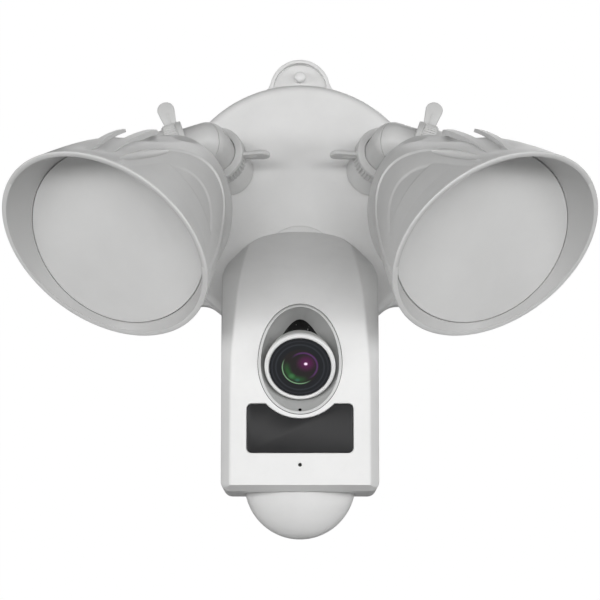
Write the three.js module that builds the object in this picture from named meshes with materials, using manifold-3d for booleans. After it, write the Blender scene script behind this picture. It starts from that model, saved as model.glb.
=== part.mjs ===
// Floodlight security camera: a round wall canopy, a camera body that hangs from it, and two
// hooded lamps, each on an elbow arm that two winged ring nuts lock.
// Millimetres. +X is the viewer's right, +Z is up, and the wall is the plane y = 0, so the
// object stands out along -Y. The origin is the centre of the bracket's back face.
import * as THREE from "three";
import { mergeVertices } from "three/addons/utils/BufferGeometryUtils.js";
import { ConvexGeometry } from "three/addons/geometries/ConvexGeometry.js";
import Module from "manifold-3d";

const wasm = await Module();
wasm.setup();

// ---- driving dimensions -------------------------------------------------------------------
const gap = 0.3; // clearance between pieces that touch
const wall = 2.5; // moulded wall
const seal = 2; // squeezed thickness of a gasket

const canopyRadius = 72;
const canopySide = 23; // depth of the straight side, wall to shoulder
const canopyRise = 6; // how far the front bulges past the shoulder
const earRadius = 17; // round lobe of each fixing ear
const earFillet = 12; // hollow curve from the lobe to the rim
const earDepth = 10;
const earRim = 1.9;
const earHoleOut = 7.5; // screw hole, outwards from the middle of the lobe
const earHoleRadius = 2.6;
const earCapRadius = 3.2;

const bracketThick = 1.6; // steel crossbar on the wall
const bracketHalf = 11;
const slotFrom = 34; // slots for box screws, 78 mm apart at their middles
const slotTo = 44;
const slotRadius = 2.3;

const bossRadius = 22; // boss that the camera hangs from
const bossDrop = 33.5; // below the canopy's middle
const bossFront = 38;
const stemRadius = 7; // hollow bolt through the boss
const stemBore = 4;

const bodyHalf = 41.4; // half the camera body's width
const bodyTop = -17;
const bodyBottom = -160.6;
const bodyBack = bossFront + gap;
const bodyFront = 96;
const bodyRear = 3.2; // thickness of the rear cover
const bevelOut = 4.9; // side bevel, sideways
const bevelDeep = 8; // side bevel, back from the front face
const bevelLow = 2.7; // bottom bevel, upwards
const bodyCorner = 5; // bottom corners, seen from the front
const faceWide = -115; // below this height the front face has its full width
const crownStart = -76; // where the front face begins to lean back to the wall
const crownBack = 46; // how far it leans back at the very top

const lensRadius = 18.5; // white ring round the lens
const ballRadius = lensRadius - 0.9; // ball behind it, which tilts
const lensTilt = 29; // degrees below level
const lensFrontY = -bodyFront - lensRadius * 0.162;
const lensLength = lensRadius * 0.297; // pivot to the front of the ring
const lensShell = 2;
const ringDeep = lensRadius * 0.162; // ring's front to the front plane of the ball
const glassRadius = lensRadius - 2.4;
const seatThick = 2.2;
const studRadius = 1.8;

const bowlHalf = lensRadius * 1.184; // egg-shaped lens recess
const bowlMiddle = -94.6;
const lensFrontZ = bowlMiddle - lensRadius * 0.135;
const bowlUp = lensRadius * 1.703;
const bowlDown = lensRadius * 1.427;
const bowlWall = lensRadius * 0.0757;
const bowlDepth = lensRadius * 0.65;
const throatRadius = ballRadius - 1.4; // hole in the bowl behind the lens ball
const throatRise = 5; // how much further that hole opens above the ball

const windowBite = bowlHalf + 2.8; // radius of the round bite in its top edge
const windowBiteMiddle = -98.6;
const windowHalf = windowBite + 3;
const windowTop = windowBiteMiddle - 17;
const windowBottom = windowBiteMiddle - windowBite - 17.9;
const windowCorner = 2.6;
const windowThick = 1.6;
const micHeight = windowBottom - 6.2;
const micRadius = 1;

const domeHalf = 29.5; // presence sensor's dome
const domeDeep = 21;
const domeDown = 29.8;
const domeMiddleY = -64.5;
const domeMiddleZ = bodyBottom + 5.6;
const domeWall = 1.6;
const domeFlange = 2;

const armSpread = 45; // ring nut on the canopy, sideways
const armRise = 25;
const armOut = 48;
const armYaw = 14.8; // degrees, outwards
const armPitch = 10.8; // degrees, up
const barrelRadius = 11;
const barrelBore = 7;
const armLength = 21; // nut to the middle of the elbow
const sideArm = barrelRadius + 5; // elbow to the second nut
const sideArmDrop = 17.5; // degrees below level
const nutThread = barrelRadius + 2.5; // threaded sockets on the canopy and on the lamp
const nutRadius = nutThread + 2;
const nutLength = 11;
const nutLip = 2.6;
const wingLength = 14;
const wingWidth = 9.4;
const wingThick = 2.4;

const lampOut = 27.86; // middle of the diffuser, from the middle of the second nut
const lampAhead = 60.06;
const lampBelow = 57.12;
const lampYaw = 24.8; // degrees, outwards
const lampPitch = 32.4; // degrees, down
const rimRadius = 58.4;
const rimWall = 3; // width of the hood's front edge
const diffuserRadius = rimRadius - 9.8;
const diffuserThick = 2.4;
const backRadius = rimRadius - 17.4;
const rimTip = 12.8; // degrees, rim tipped on the lamp axis
const rimTurn = -7.1;
const rimForward = 15.5; // rim ahead of the diffuser
const backTip = -23.6;
const backTurn = -15.9;
const backBehind = 50;
const finThick = 2.6;
const finLow = 12; // fins end this far above the lamp axis on the outer side

const deg = Math.PI / 180;

// ---- solids -------------------------------------------------------------------------------
const V = (x, y, z) => new THREE.Vector3(x, y, z);

// A closed three.js geometry as a manifold solid.
function solid(geometry) {
  const shape = new THREE.BufferGeometry();
  shape.setAttribute("position", geometry.getAttribute("position"));
  if (geometry.index) shape.setIndex(geometry.index);
  const merged = mergeVertices(shape, 1e-4);
  return new wasm.Manifold(
    new wasm.Mesh({
      numProp: 3,
      vertProperties: new Float32Array(merged.attributes.position.array),
      triVerts: new Uint32Array(merged.index.array),
    }),
  );
}

function toGeometry(made) {
  const mesh = made.getMesh();
  const geometry = new THREE.BufferGeometry();
  geometry.setAttribute("position", new THREE.BufferAttribute(mesh.vertProperties.slice(), 3));
  geometry.setIndex(new THREE.BufferAttribute(mesh.triVerts.slice(), 1));
  const flat = geometry.toNonIndexed();
  flat.computeVertexNormals();
  return flat;
}

const hull = (points) => solid(new ConvexGeometry(points));

// A solid of revolution about Y from the [radius, y] points of its half section.
function turned(points, steps = 36) {
  const outline = points.map(([r, y]) => new THREE.Vector2(r, y));
  if (outline[0].x > 0 || outline[outline.length - 1].x > 0) outline.push(outline[0].clone());
  if (THREE.ShapeUtils.area(outline) < 0) outline.reverse();
  return solid(new THREE.LatheGeometry(outline, steps));
}

// A round bar along Y, from y0 to y1.
const rod = (radius, y0, y1, steps = 28) =>
  turned([[0, y0], [radius, y0], [radius, y1], [0, y1]], steps);

// A ring along Y, from y0 to y1.
const tube = (outer, inner, y0, y1, steps = 28) =>
  turned([[inner, y0], [outer, y0], [outer, y1], [inner, y1]], steps);

function box(x0, x1, y0, y1, z0, z1) {
  const geometry = new THREE.BoxGeometry(x1 - x0, y1 - y0, z1 - z0);
  return solid(geometry.translate((x0 + x1) / 2, (y0 + y1) / 2, (z0 + z1) / 2));
}

// A front-view outline (x right, z up) given depth along Y, from y0 (nearer the viewer) to y1.
function slab(shape, y0, y1, curveSegments = 12) {
  const geometry = new THREE.ExtrudeGeometry(shape, {
    depth: y1 - y0,
    bevelEnabled: false,
    curveSegments,
  });
  return solid(geometry.rotateX(Math.PI / 2).translate(0, y1, 0));
}

// Points of a circle that faces -Y, then is tipped down and turned out by degrees.
function loop(middle, radius, tip = 0, turn = 0, steps = 36) {
  const turnBy = new THREE.Euler(tip * deg, 0, turn * deg, "ZYX");
  return Array.from({ length: steps }, (_, i) => {
    const a = (i / steps) * 2 * Math.PI;
    return V(radius * Math.cos(a), 0, radius * Math.sin(a)).applyEuler(turnBy).add(middle);
  });
}

const moved = (made, x, y, z) => made.translate([x, y, z]);
const tipped = (made, x, y, z) => made.rotate([x, y, z]);

// ---- finishes -----------------------------------------------------------------------------
const finish = (color, roughness, metalness = 0) => () =>
  new THREE.MeshStandardMaterial({ color, roughness, metalness });
const whitePlastic = finish(0xe6e6e4, 0.5);
const greyPlastic = finish(0xc4c4c3, 0.5);
const satinGrey = finish(0xa9aaaa, 0.42);
const frosted = finish(0xdcdcda, 0.6);
const blackGloss = finish(0x232427, 0.12);
const darkGlass = finish(0x0c0f10, 0.05);
const rubber = finish(0x2b2b2b, 0.8);
const steel = finish(0xb8bbbd, 0.35, 1);
const circuitGreen = finish(0x1f5a3a, 0.6);
const mirrorPlastic = finish(0xf2f2f0, 0.25);
const lightLens = finish(0xf0f0ee, 0.4);

function part(name, made, material) {
  const mesh = new THREE.Mesh(toGeometry(made), material());
  mesh.name = name;
  return mesh;
}

const object = new THREE.Group();

// ---- wall side ----------------------------------------------------------------------------
const coverBack = -(seal + gap);

// Front surface of the canopy at a distance from its middle.
function canopyFront(distance) {
  const shoulder = canopyRadius - 5;
  const part = Math.min(distance / shoulder, 1);
  return -(canopySide + canopyRise * (1 - part * part));
}

function canopyProfile(inset) {
  const shoulder = canopyRadius - 5;
  const points = [];
  for (let i = 0; i <= 4; i += 1) {
    const r = (shoulder * i) / 4;
    points.push([r, canopyFront(r) + inset]);
  }
  for (let i = 1; i <= 3; i += 1) {
    const a = (i / 3) * 90 * deg;
    const r = shoulder + (5 - inset) * Math.sin(a);
    points.push([r, -canopySide + inset + (5 - inset) * (1 - Math.cos(a))]);
  }
  return points;
}

function earShape(grow) {
  const lobe = earRadius + grow;
  const hollow = earFillet - grow;
  const far = canopyRadius + earFillet;
  const near = earRadius + earFillet;
  const cos = (far * far + canopyRadius * canopyRadius - near * near) / (2 * far * canopyRadius);
  const out = Math.acos(cos);
  const fillet = new THREE.Vector2(far * Math.sin(out), far * Math.cos(out));
  const toLobe = Math.atan2(fillet.y - canopyRadius, fillet.x);
  const shape = new THREE.Shape();
  const inner = canopyRadius - 12;
  shape.moveTo(0, inner);
  shape.lineTo(inner * Math.sin(out), inner * Math.cos(out));
  const toMiddle = Math.PI * 1.5 - out;
  shape.absarc(fillet.x, fillet.y, hollow, toMiddle, Math.PI + toLobe, true);
  shape.absarc(0, canopyRadius, lobe, toLobe, Math.PI - toLobe, false);
  shape.absarc(-fillet.x, fillet.y, hollow, -toLobe, -Math.PI / 2 + out, true);
  shape.lineTo(-inner * Math.sin(out), inner * Math.cos(out));
  return shape;
}

function pocketShape() {
  const shape = new THREE.Shape();
  const reach = earRadius - earRim;
  const low = 32 * deg;
  shape.absarc(0, canopyRadius, reach, -low + 0.25, Math.PI + low - 0.25, false);
  return shape;
}

function earAt(angle) {
  const hole = moved(rod(earHoleRadius, -30, 10, 12), 0, 0, canopyRadius + earHoleOut);
  const lug = slab(earShape(0), -earDepth, coverBack, 5);
  const pocket = slab(pocketShape(), -earDepth - 1, coverBack - wall, 5);
  return tipped(lug.subtract(pocket).subtract(hole), 0, angle, 0);
}

const armDirection = new THREE.Euler(-armPitch * deg, 0, -armYaw * deg, "ZYX");
const armFoot = (side) => V(side * armSpread, -armOut, armRise);

// Turns a solid built along -Y to an arm's own direction and place.
function onArm(made, side) {
  const placed = made.rotate([-armPitch, 0, 0]).rotate([0, 0, side * armYaw]);
  const foot = armFoot(side);
  return placed.translate([foot.x, foot.y, foot.z]);
}

function canopyCover() {
  const outer = turned([...canopyProfile(0), [canopyRadius, coverBack], [0, coverBack]], 48);
  const hollow = turned(
    [...canopyProfile(wall), [canopyRadius - wall, 10], [0, 10]],
    48,
  );
  let cover = outer;
  for (const angle of [0, 120, 240]) cover = cover.add(earAt(angle));
  cover = cover.add(moved(rod(bossRadius, -bossFront, -canopySide), 0, 0, -bossDrop));
  for (const side of [-1, 1]) cover = cover.add(onArm(rod(nutThread, 0, 24), side));
  cover = cover.subtract(hollow);
  for (const side of [-1, 1]) cover = cover.subtract(onArm(rod(barrelRadius + gap, -1, 40), side));
  const stemHole = moved(rod(stemRadius + gap, -60, 10, 28), 0, 0, -bossDrop);
  return cover.subtract(stemHole);
}
object.add(part("canopy_cover", canopyCover(), whitePlastic));
object.add(part("canopy_gasket", tube(canopyRadius - 3, canopyRadius - 12, -seal, 0, 40), rubber));

// Steel crossbar with a slot near each end for the box screws.
function wallBracket() {
  const reach = canopyRadius - 18;
  let strip = box(-reach, reach, -bracketThick, 0, -bracketHalf, bracketHalf);
  for (const near of [slotFrom, -slotTo]) {
    const slot = new THREE.Shape();
    const far = near + slotTo - slotFrom;
    slot.absarc(far, 0, slotRadius, -Math.PI / 2, Math.PI / 2, false);
    slot.absarc(near, 0, slotRadius, Math.PI / 2, Math.PI * 1.5, false);
    strip = strip.subtract(slab(slot, -bracketThick - 1, 1, 6));
  }
  return strip;
}
object.add(part("wall_bracket", wallBracket(), steel));

for (const [place, angle] of [["top", 0], ["right", 120], ["left", 240]]) {
  const stem = rod(earHoleRadius - gap, -8, coverBack, 12);
  const head = turned(
    [[0, -9.2], [earCapRadius - 0.7, -9.1], [earCapRadius, -8.5], [earCapRadius, -5.4], [0, -5.4]],
    16,
  );
  const cap = moved(stem.add(head), 0, 0, canopyRadius + earHoleOut);
  object.add(part(`ear_screw_${place}`, tipped(cap, 0, angle, 0), lightLens));
}

// Potted driver with a stepped screw foot at each end.
function ledDriver() {
  const half = canopyRadius * 0.42;
  const top = canopyRadius * 0.75;
  const low = top - 30;
  const front = canopyFront(Math.hypot(half, top)) + wall + gap;
  const foot = 4;
  const step = front + 6;
  let potted = box(-half, half, front, -5, low, top);
  for (const side of [-1, 1]) {
    const cut = box(half - foot, half + 1, front - 1, step, low - 1, top + 1);
    potted = potted.subtract(side > 0 ? cut : cut.mirror([1, 0, 0]));
  }
  return potted;
}
object.add(part("led_driver", ledDriver(), blackGloss));

function terminalBlock() {
  let block = box(-17, 17, -20, -5, -2, 13);
  for (const x of [-11, 0, 11]) block = block.subtract(moved(rod(3, -30, -14, 10), x, 0, 5.5));
  return block;
}
object.add(part("terminal_block", terminalBlock(), whitePlastic));

function hollowBolt() {
  const head = turned([[0, -17], [12, -17], [12, -21.5], [0, -21.5]], 6);
  const shank = rod(stemRadius, -(bodyBack + bodyRear + 9), -21);
  return moved(head.add(shank).subtract(rod(stemBore, -80, 0)), 0, 0, -bossDrop);
}
object.add(part("camera_hollow_bolt", hollowBolt(), steel));

// ---- camera body --------------------------------------------------------------------------
// Half width of the body's front view at a height.
const crown = new THREE.SplineCurve([
  new THREE.Vector2(0, bodyTop),
  new THREE.Vector2(12, bodyTop - 0.8),
  new THREE.Vector2(23, bodyTop - 4),
  new THREE.Vector2(29, bodyTop - 8.6),
  new THREE.Vector2(34, bodyTop - 14.6),
  new THREE.Vector2(38.8, bodyTop - 20.8),
  new THREE.Vector2(bodyHalf, bodyTop - 28),
]);

function leanBack(z) {
  const part = Math.max(0, (z - crownStart) / (bodyTop - crownStart));
  return crownBack * part ** 2.1;
}

// Half width of the flat front face at a height: it narrows towards the top.
const faceHalf = (z) => bodyHalf - bevelOut - 0.0011 * Math.max(0, z - faceWide) ** 2;

// The closed outside of the body, shrunk by inset on every side.
function bodySolid(inset) {
  const points = [];
  const add = (x, y, z) => points.push(V(x, y, z), V(-x, y, z));
  const back = -bodyBack - inset;
  for (let i = 0; i <= 9; i += 1) {
    const at = crown.getPoint(i / 9);
    const shrink = 1 - inset / bodyHalf;
    const x = at.x * shrink;
    const z = at.y - inset;
    add(x, back, z);
    const front = -bodyFront + leanBack(z) + inset;
    add(Math.min(x * 0.92, faceHalf(z) - inset), Math.min(front, back), z);
    add(x, Math.min(front + bevelDeep, back), z);
  }
  for (const z of [bodyTop - 28, -56, -66, crownStart, -95, faceWide]) {
    const front = -bodyFront + leanBack(z) + inset;
    add(faceHalf(z) - inset, front, z);
    add(bodyHalf - inset, front + bevelDeep, z);
  }
  for (let i = 0; i <= 3; i += 1) {
    const a = (i / 3) * 90 * deg;
    const cx = bodyHalf - inset - bodyCorner;
    const cz = bodyBottom + inset + bodyCorner;
    const x = cx + bodyCorner * Math.cos(a);
    const z = cz - bodyCorner * Math.sin(a);
    add(x, back, z);
    add(x, -bodyFront + bevelDeep * (1 - 0.4 * Math.sin(a)) + inset, z);
    add(x - bevelOut * Math.cos(a), -bodyFront + inset, z + bevelLow * Math.sin(a));
  }
  return hull(points);
}

function eggShape(grow) {
  const shape = new THREE.Shape();
  const half = bowlHalf + grow;
  shape.absellipse(0, bowlMiddle, half, bowlDown + grow, Math.PI, 2 * Math.PI, false);
  shape.absellipse(0, bowlMiddle, half, bowlUp + grow, 0, Math.PI, false);
  return shape;
}

function windowShape(grow) {
  const half = windowHalf + grow;
  const top = windowTop + grow;
  const low = windowBottom - grow;
  const r = windowCorner + grow;
  const bite = windowBite - grow;
  const meet = Math.asin((windowBiteMiddle - top) / bite);
  const shape = new THREE.Shape();
  shape.absarc(half - r, low + r, r, -Math.PI / 2, 0, false);
  shape.absarc(half - r, top - r, r, 0, Math.PI / 2, false);
  shape.absarc(0, windowBiteMiddle, bite, -meet, Math.PI + meet, true);
  shape.absarc(-half + r, top - r, r, Math.PI / 2, Math.PI, false);
  shape.absarc(-half + r, low + r, r, Math.PI, Math.PI * 1.5, false);
  return shape;
}

function ellipsoid(grow) {
  const ball = new THREE.SphereGeometry(1, 28, 14).rotateX(Math.PI / 2);
  ball.scale(domeHalf + grow, domeDeep + grow, domeDown + grow);
  return solid(ball.translate(0, domeMiddleY, domeMiddleZ));
}

const rearSplit = -(bodyBack + bodyRear);

function bodyFrontShell() {
  const outer = bodySolid(0).subtract(box(-60, 60, rearSplit - gap, 0, -200, 0));
  const inner = bodySolid(wall).subtract(box(-60, 60, rearSplit - gap - 0.01, 0, -200, 0));
  const mouth = box(-60, 60, rearSplit - 4, rearSplit + 4, -200, 0);
  let shell = outer.subtract(inner).subtract(mouth.intersect(bodySolid(wall)));
  shell = shell.subtract(slab(eggShape(gap), -120, -70, 14));
  shell = shell.subtract(slab(windowShape(gap), -120, -bodyFront + windowThick, 8));
  shell = shell.subtract(slab(windowShape(-2), -120, -80, 8));
  shell = shell.subtract(moved(rod(micRadius, -120, -80, 16), 0, 0, micHeight));
  return shell.subtract(ellipsoid(gap));
}
object.add(part("body_front_shell", bodyFrontShell(), whitePlastic));

function bodyRearCover() {
  const plate = bodySolid(0).intersect(box(-60, 60, rearSplit, 0, -200, 0));
  return plate.subtract(moved(rod(stemRadius + gap, -80, 0, 28), 0, 0, -bossDrop));
}
object.add(part("body_rear_cover", bodyRearCover(), greyPlastic));

const stemNut = () => {
  const hexagon = rod(11.5, rearSplit - 6, rearSplit - gap, 6);
  return moved(hexagon.subtract(rod(stemRadius + gap, -80, 0)), 0, 0, -bossDrop);
};
object.add(part("camera_lock_nut", stemNut(), steel));

// ---- lens ---------------------------------------------------------------------------------
const aim = V(0, -Math.cos(lensTilt * deg), -Math.sin(lensTilt * deg));
const bowlBack = -bodyFront + bowlDepth;
const lensPivot = V(0, lensFrontY, lensFrontZ).addScaledVector(aim, -lensLength);

const lensMouth = ringDeep - lensLength; // front plane of the ball

// Turns a solid built along -Y from the lens pivot to the lens's own direction.
function onLens(made) {
  return made.rotate([lensTilt, 0, 0]).translate([lensPivot.x, lensPivot.y, lensPivot.z]);
}

function eggPoints(grow, y) {
  return eggShape(grow)
    .getSpacedPoints(30)
    .map((p) => V(p.x, y + leanBack(p.y), p.y));
}

function bowlFunnel(grow, ahead) {
  const mouth = eggPoints(grow - bowlWall, -bodyFront - ahead);
  const back = grow > 0 ? 0 : 0.5;
  const throat = loop(V(0, bowlBack + back, lensPivot.z), throatRadius + grow);
  for (const p of throat) p.z += throatRise * Math.max(0, (p.z - lensPivot.z) / throatRadius) ** 2;
  return hull([...mouth, ...throat]);
}

function lensBowl() {
  const outside = bowlFunnel(bowlWall, 0).intersect(bodySolid(0));
  return outside.subtract(bowlFunnel(0, 6));
}
object.add(part("lens_bowl", lensBowl(), satinGrey));

const ball = (radius, steps = 24) => solid(new THREE.SphereGeometry(radius, steps, steps / 2));

// Back of the lens ball, up to the ring that closes its front.
function eyeball() {
  const shell = ball(ballRadius, 32).subtract(ball(ballRadius - lensShell, 24));
  const kept = shell.subtract(box(-30, 30, -30, lensMouth, -30, 30));
  return kept.subtract(rod(studRadius + gap, 0, 30, 12));
}
object.add(part("lens_eyeball", onLens(eyeball()), whitePlastic));

// Cup behind the ball, slotted for the stud that swings as the lens tilts.
function lensSeat() {
  const inner = ballRadius + gap;
  const cup = ball(inner + seatThick, 28).subtract(ball(inner, 28));
  const placed = cup.translate([0, lensPivot.y, lensPivot.z]);
  const front = box(-40, 40, -140, bowlBack + gap, -140, -50);
  const half = studRadius + 2 * gap;
  const low = lensPivot.z - half;
  const slot = box(-half, half, lensPivot.y + 8, -50, low, low + 0.85 * inner);
  return placed.subtract(front).subtract(slot);
}
object.add(part("lens_seat", lensSeat(), blackGloss));

const seatOutside = ballRadius + gap + seatThick;
const stud = rod(studRadius, ballRadius - lensShell + 0.4, seatOutside + 4.6, 12);
const studHead = rod(3.4, ballRadius - lensShell - 1.8, ballRadius - lensShell - 0.6, 16);
const studNeck = rod(studRadius, ballRadius - lensShell - 1.2, ballRadius, 12);
object.add(part("lens_stud", onLens(stud.add(studHead).add(studNeck)), steel));

const clampNut = rod(4.6, seatOutside + gap, seatOutside + 3.4, 6);
const clampHole = rod(studRadius + gap, 0, 60, 12);
object.add(part("lens_clamp_nut", onLens(clampNut.subtract(clampHole)), steel));

function lensRing() {
  const outer = lensRadius;
  const front = -lensLength;
  return turned(
    [
      [glassRadius + gap, front + 0.2],
      [outer - 1.2, front],
      [outer, front + 1],
      [outer, lensMouth - gap],
      [glassRadius - 2, lensMouth - gap],
      [glassRadius - 2, front + 2],
      [glassRadius + gap, front + 2],
    ],
    36,
  );
}
object.add(part("lens_ring", onLens(lensRing()), whitePlastic));

const coverGlass = rod(glassRadius, -lensLength + 0.5, -lensLength + 2 - gap, 32);
object.add(part("lens_cover_glass", onLens(coverGlass), darkGlass));

const barrelEnd = lensRadius * 0.432;
function lensBarrel() {
  const flange = ballRadius - lensShell - 2 * gap;
  const front = lensRadius * 0.67;
  const mouth = lensRadius * 0.465;
  const rear = lensRadius * 0.486;
  const eye = lensRadius * 0.27;
  return turned(
    [
      [mouth, lensMouth],
      [flange, lensMouth],
      [flange, lensMouth + 1.2],
      [front, lensMouth + 1.2],
      [front, barrelEnd - 5.5],
      [rear, barrelEnd - 4.5],
      [rear, barrelEnd],
      [eye, barrelEnd],
      [eye, barrelEnd - 3.5],
      [mouth, barrelEnd - 4.5],
    ],
    24,
  );
}
object.add(part("lens_barrel", onLens(lensBarrel()), blackGloss));

function lensElement() {
  const curve = lensRadius * 0.508;
  const deep = barrelEnd - 4.7;
  const bulge = [];
  for (let i = 0; i <= 3; i += 1) {
    const a = (i / 3) * 60 * deg;
    bulge.push([curve * Math.sin(a), deep - curve * (Math.cos(a) - 0.5)]);
  }
  return turned([...bulge, [0, deep]], 20);
}
object.add(part("lens_element", onLens(lensElement()), darkGlass));

// The board's corners stand just inside the ball.
const sensorLow = lensRadius * 0.378;
const sensorReach = ballRadius - lensShell - 0.5;
const sensorHalf = Math.sqrt(sensorReach ** 2 - (barrelEnd + 1.9) ** 2 - sensorLow ** 2);
const sensorBoard = box(
  -sensorHalf,
  sensorHalf,
  barrelEnd + 0.5,
  barrelEnd + 1.9,
  -sensorLow,
  sensorLow,
);
object.add(part("image_sensor_board", onLens(sensorBoard), circuitGreen));

// ---- what the body holds ------------------------------------------------------------------
const windowFront = -bodyFront;
const windowPane = slab(windowShape(0), windowFront, windowFront + windowThick - gap, 8);
object.add(part("sensor_window", windowPane, blackGloss));

function irBoard() {
  const low = windowBottom - 0.8;
  const half = windowHalf - 2.7;
  let board = box(-half, half, -88, -86.4, low, low + 20);
  for (const x of [-19, -8, 8, 19]) {
    board = board.add(moved(rod(2.5, -91, -86.9, 10), x, 0, low + 11));
  }
  return board;
}
object.add(part("infrared_board", irBoard(), circuitGreen));

function mainBoard() {
  const half = bodyHalf - 8.4;
  const low = bodyBottom + 22.6;
  const top = -52;
  const holeIn = 5;
  let board = box(-half, half, -56, -54.4, low, top);
  for (const x of [holeIn - half, half - holeIn]) {
    for (const z of [low + holeIn, top - holeIn]) {
      board = board.subtract(moved(rod(1.7, -70, -40, 8), x, 0, z));
    }
  }
  return board.add(box(-10, 10, -58.5, -55.5, -100, -80)).add(box(-26, -14, -57.5, -55.5, -128, -108));
}
object.add(part("main_board", mainBoard(), circuitGreen));

const speaker = turned(
  [[0, -57], [9, -57], [9, -63], [13.5, -66], [13.5, -68], [10, -68], [6, -64], [0, -64]],
  32,
);
object.add(part("siren_speaker", moved(speaker, 0, 0, -124), blackGloss));

const microphone = rod(3, -bodyFront + wall + gap, -bodyFront + wall + 4, 20);
object.add(part("microphone", moved(microphone, 0, 0, micHeight), rubber));

// Half ball under the body, with a flange that lies on the floor of the housing.
function sensorDome() {
  const seatTop = bodyBottom + wall + gap + domeFlange;
  const flange = new THREE.CylinderGeometry(1, 1, domeFlange, 28).rotateX(Math.PI / 2);
  flange.scale(domeHalf + 2.6, domeDeep + 1.2, 1);
  const seat = solid(flange.translate(0, domeMiddleY, seatTop - domeFlange / 2));
  const skirt = ellipsoid(0).subtract(box(-60, 60, -110, -30, seatTop, -100));
  return skirt.add(seat.intersect(bodySolid(wall + gap))).subtract(ellipsoid(-domeWall));
}
object.add(part("presence_dome", sensorDome(), lightLens));

function presenceSensor() {
  const low = bodyBottom + 9.6;
  const board = box(-16, 16, -82, -54, low, low + 1.4);
  const can = rod(4.5, 0, 5, 24).rotate([-90, 0, 0]).translate([0, domeMiddleY, low + 0.5]);
  return board.add(can);
}
object.add(part("presence_sensor", presenceSensor(), circuitGreen));

// ---- lamp arms and heads ------------------------------------------------------------------
// Ring nut along -Y: the lip faces -Y, and its wing stands out at an angle about Y.
function ringNut(wingAngle) {
  const front = -nutLength / 2;
  const back = nutLength / 2;
  const ring = turned(
    [
      [barrelRadius + gap, front],
      [nutRadius - 1, front],
      [nutRadius, front + 1],
      [nutRadius, back - 1],
      [nutRadius - 0.6, back],
      [nutThread + gap, back],
      [nutThread + gap, front + nutLip],
      [barrelRadius + gap, front + nutLip],
    ],
    28,
  );
  const tip = nutRadius + wingLength;
  const outline = new THREE.Shape();
  outline.moveTo(-wingWidth / 2 + 1, nutRadius - 1.4);
  outline.lineTo(wingWidth / 2 - 1, nutRadius - 1.4);
  outline.absarc(0, tip - wingWidth / 2, wingWidth / 2, 0, Math.PI, false);
  const wing = slab(outline, -wingThick / 2, wingThick / 2, 8).rotate([0, 0, 90]);
  return ring.add(wing.rotate([0, wingAngle, 0]));
}

const squeezed = () =>
  tube(nutThread, barrelRadius + gap, -nutLength / 2 + nutLip + gap, -gap - 0.1, 40);

// Elbow: a barrel along -Y from the canopy, a round corner, and a side barrel to the lamp.
const sideDirection = V(
  -Math.cos(sideArmDrop * deg),
  0,
  -Math.sin(sideArmDrop * deg),
);

const leftFoot = armFoot(-1);
const leftDirection = V(0, -1, 0).applyEuler(armDirection);
const elbow = leftFoot.clone().addScaledVector(leftDirection, armLength);
const nutPlace = elbow.clone().addScaledVector(sideDirection, sideArm);

// Turns a solid built along -Y to the side barrel's direction, centred on the second nut.
function onSideArm(made) {
  return made
    .rotate([sideArmDrop, 0, 0])
    .rotate([0, 0, -90])
    .translate([nutPlace.x, nutPlace.y, nutPlace.z]);
}

function armElbow() {
  const barrel = onArm(rod(barrelRadius, -armLength, 11), -1);
  const ball = solid(new THREE.SphereGeometry(barrelRadius, 20, 12)).translate([
    elbow.x,
    elbow.y,
    elbow.z,
  ]);
  const side = onSideArm(rod(barrelRadius, -6, sideArm));
  const bore = onArm(rod(barrelBore, -armLength, 30), -1);
  const sideBore = onSideArm(rod(barrelBore, -30, sideArm));
  return barrel.add(ball).add(side).subtract(bore).subtract(sideBore);
}

const rimMiddle = V(-0.6, -rimForward, 1.6);
const backMiddle = V(4.5, backBehind, -7.3);

// Turns a solid from the lamp's own frame (middle of the diffuser, lamp axis along -Y).
function onLamp(made) {
  return made
    .rotate([lampPitch, 0, 0])
    .rotate([0, 0, -lampYaw])
    .translate([nutPlace.x - lampOut, nutPlace.y - lampAhead, nutPlace.z - lampBelow]);
}

function lampHousing() {
  const rim = loop(rimMiddle, rimRadius, rimTip, rimTurn, 44);
  const shoulder = loop(V(1.5, 8, 0), diffuserRadius + 3.2, 0, -4, 36);
  const back = loop(backMiddle, backRadius, backTip, backTurn, 36);
  const backAxis = V(0, 1, 0).applyEuler(new THREE.Euler(backTip * deg, 0, backTurn * deg, "ZYX"));
  const tailMiddle = backMiddle.clone().addScaledVector(backAxis, 14);
  const tail = loop(tailMiddle, backRadius - 15, backTip, backTurn, 24);
  let housing = hull([...rim, ...shoulder, ...back, ...tail]);
  for (const fin of finList) housing = housing.add(finSolid(fin));
  let made = onLamp(housing);
  made = made.subtract(onSideArm(rod(nutRadius + 1.5, -nutLength / 2 - 1, 40)));
  made = made.add(onSideArm(rod(nutThread, -34, 0)));
  const mouth = loop(rimMiddle, rimRadius - rimWall, rimTip, rimTurn, 44);
  const ahead = mouth.map((p) => p.clone().add(V(0, -6, 0)));
  const seat = loop(V(0, 0, 0), diffuserRadius + gap + 0.4, 0, 0, 44);
  const cup = hull([...mouth, ...ahead, ...seat]);
  const well = rod(diffuserRadius + gap, -1, 4 + diffuserThick, 44);
  const chamber = hull([
    ...loop(V(0, 4 + diffuserThick, 0), diffuserRadius - 3, 0, 0, 32),
    ...loop(backMiddle.clone().add(V(0, -14, 0)), backRadius - 8, backTip, backTurn, 28),
  ]);
  made = made.subtract(onLamp(cup.add(well).add(chamber)));
  return made.subtract(onSideArm(rod(barrelRadius + gap, -12, 30)));
}

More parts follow.
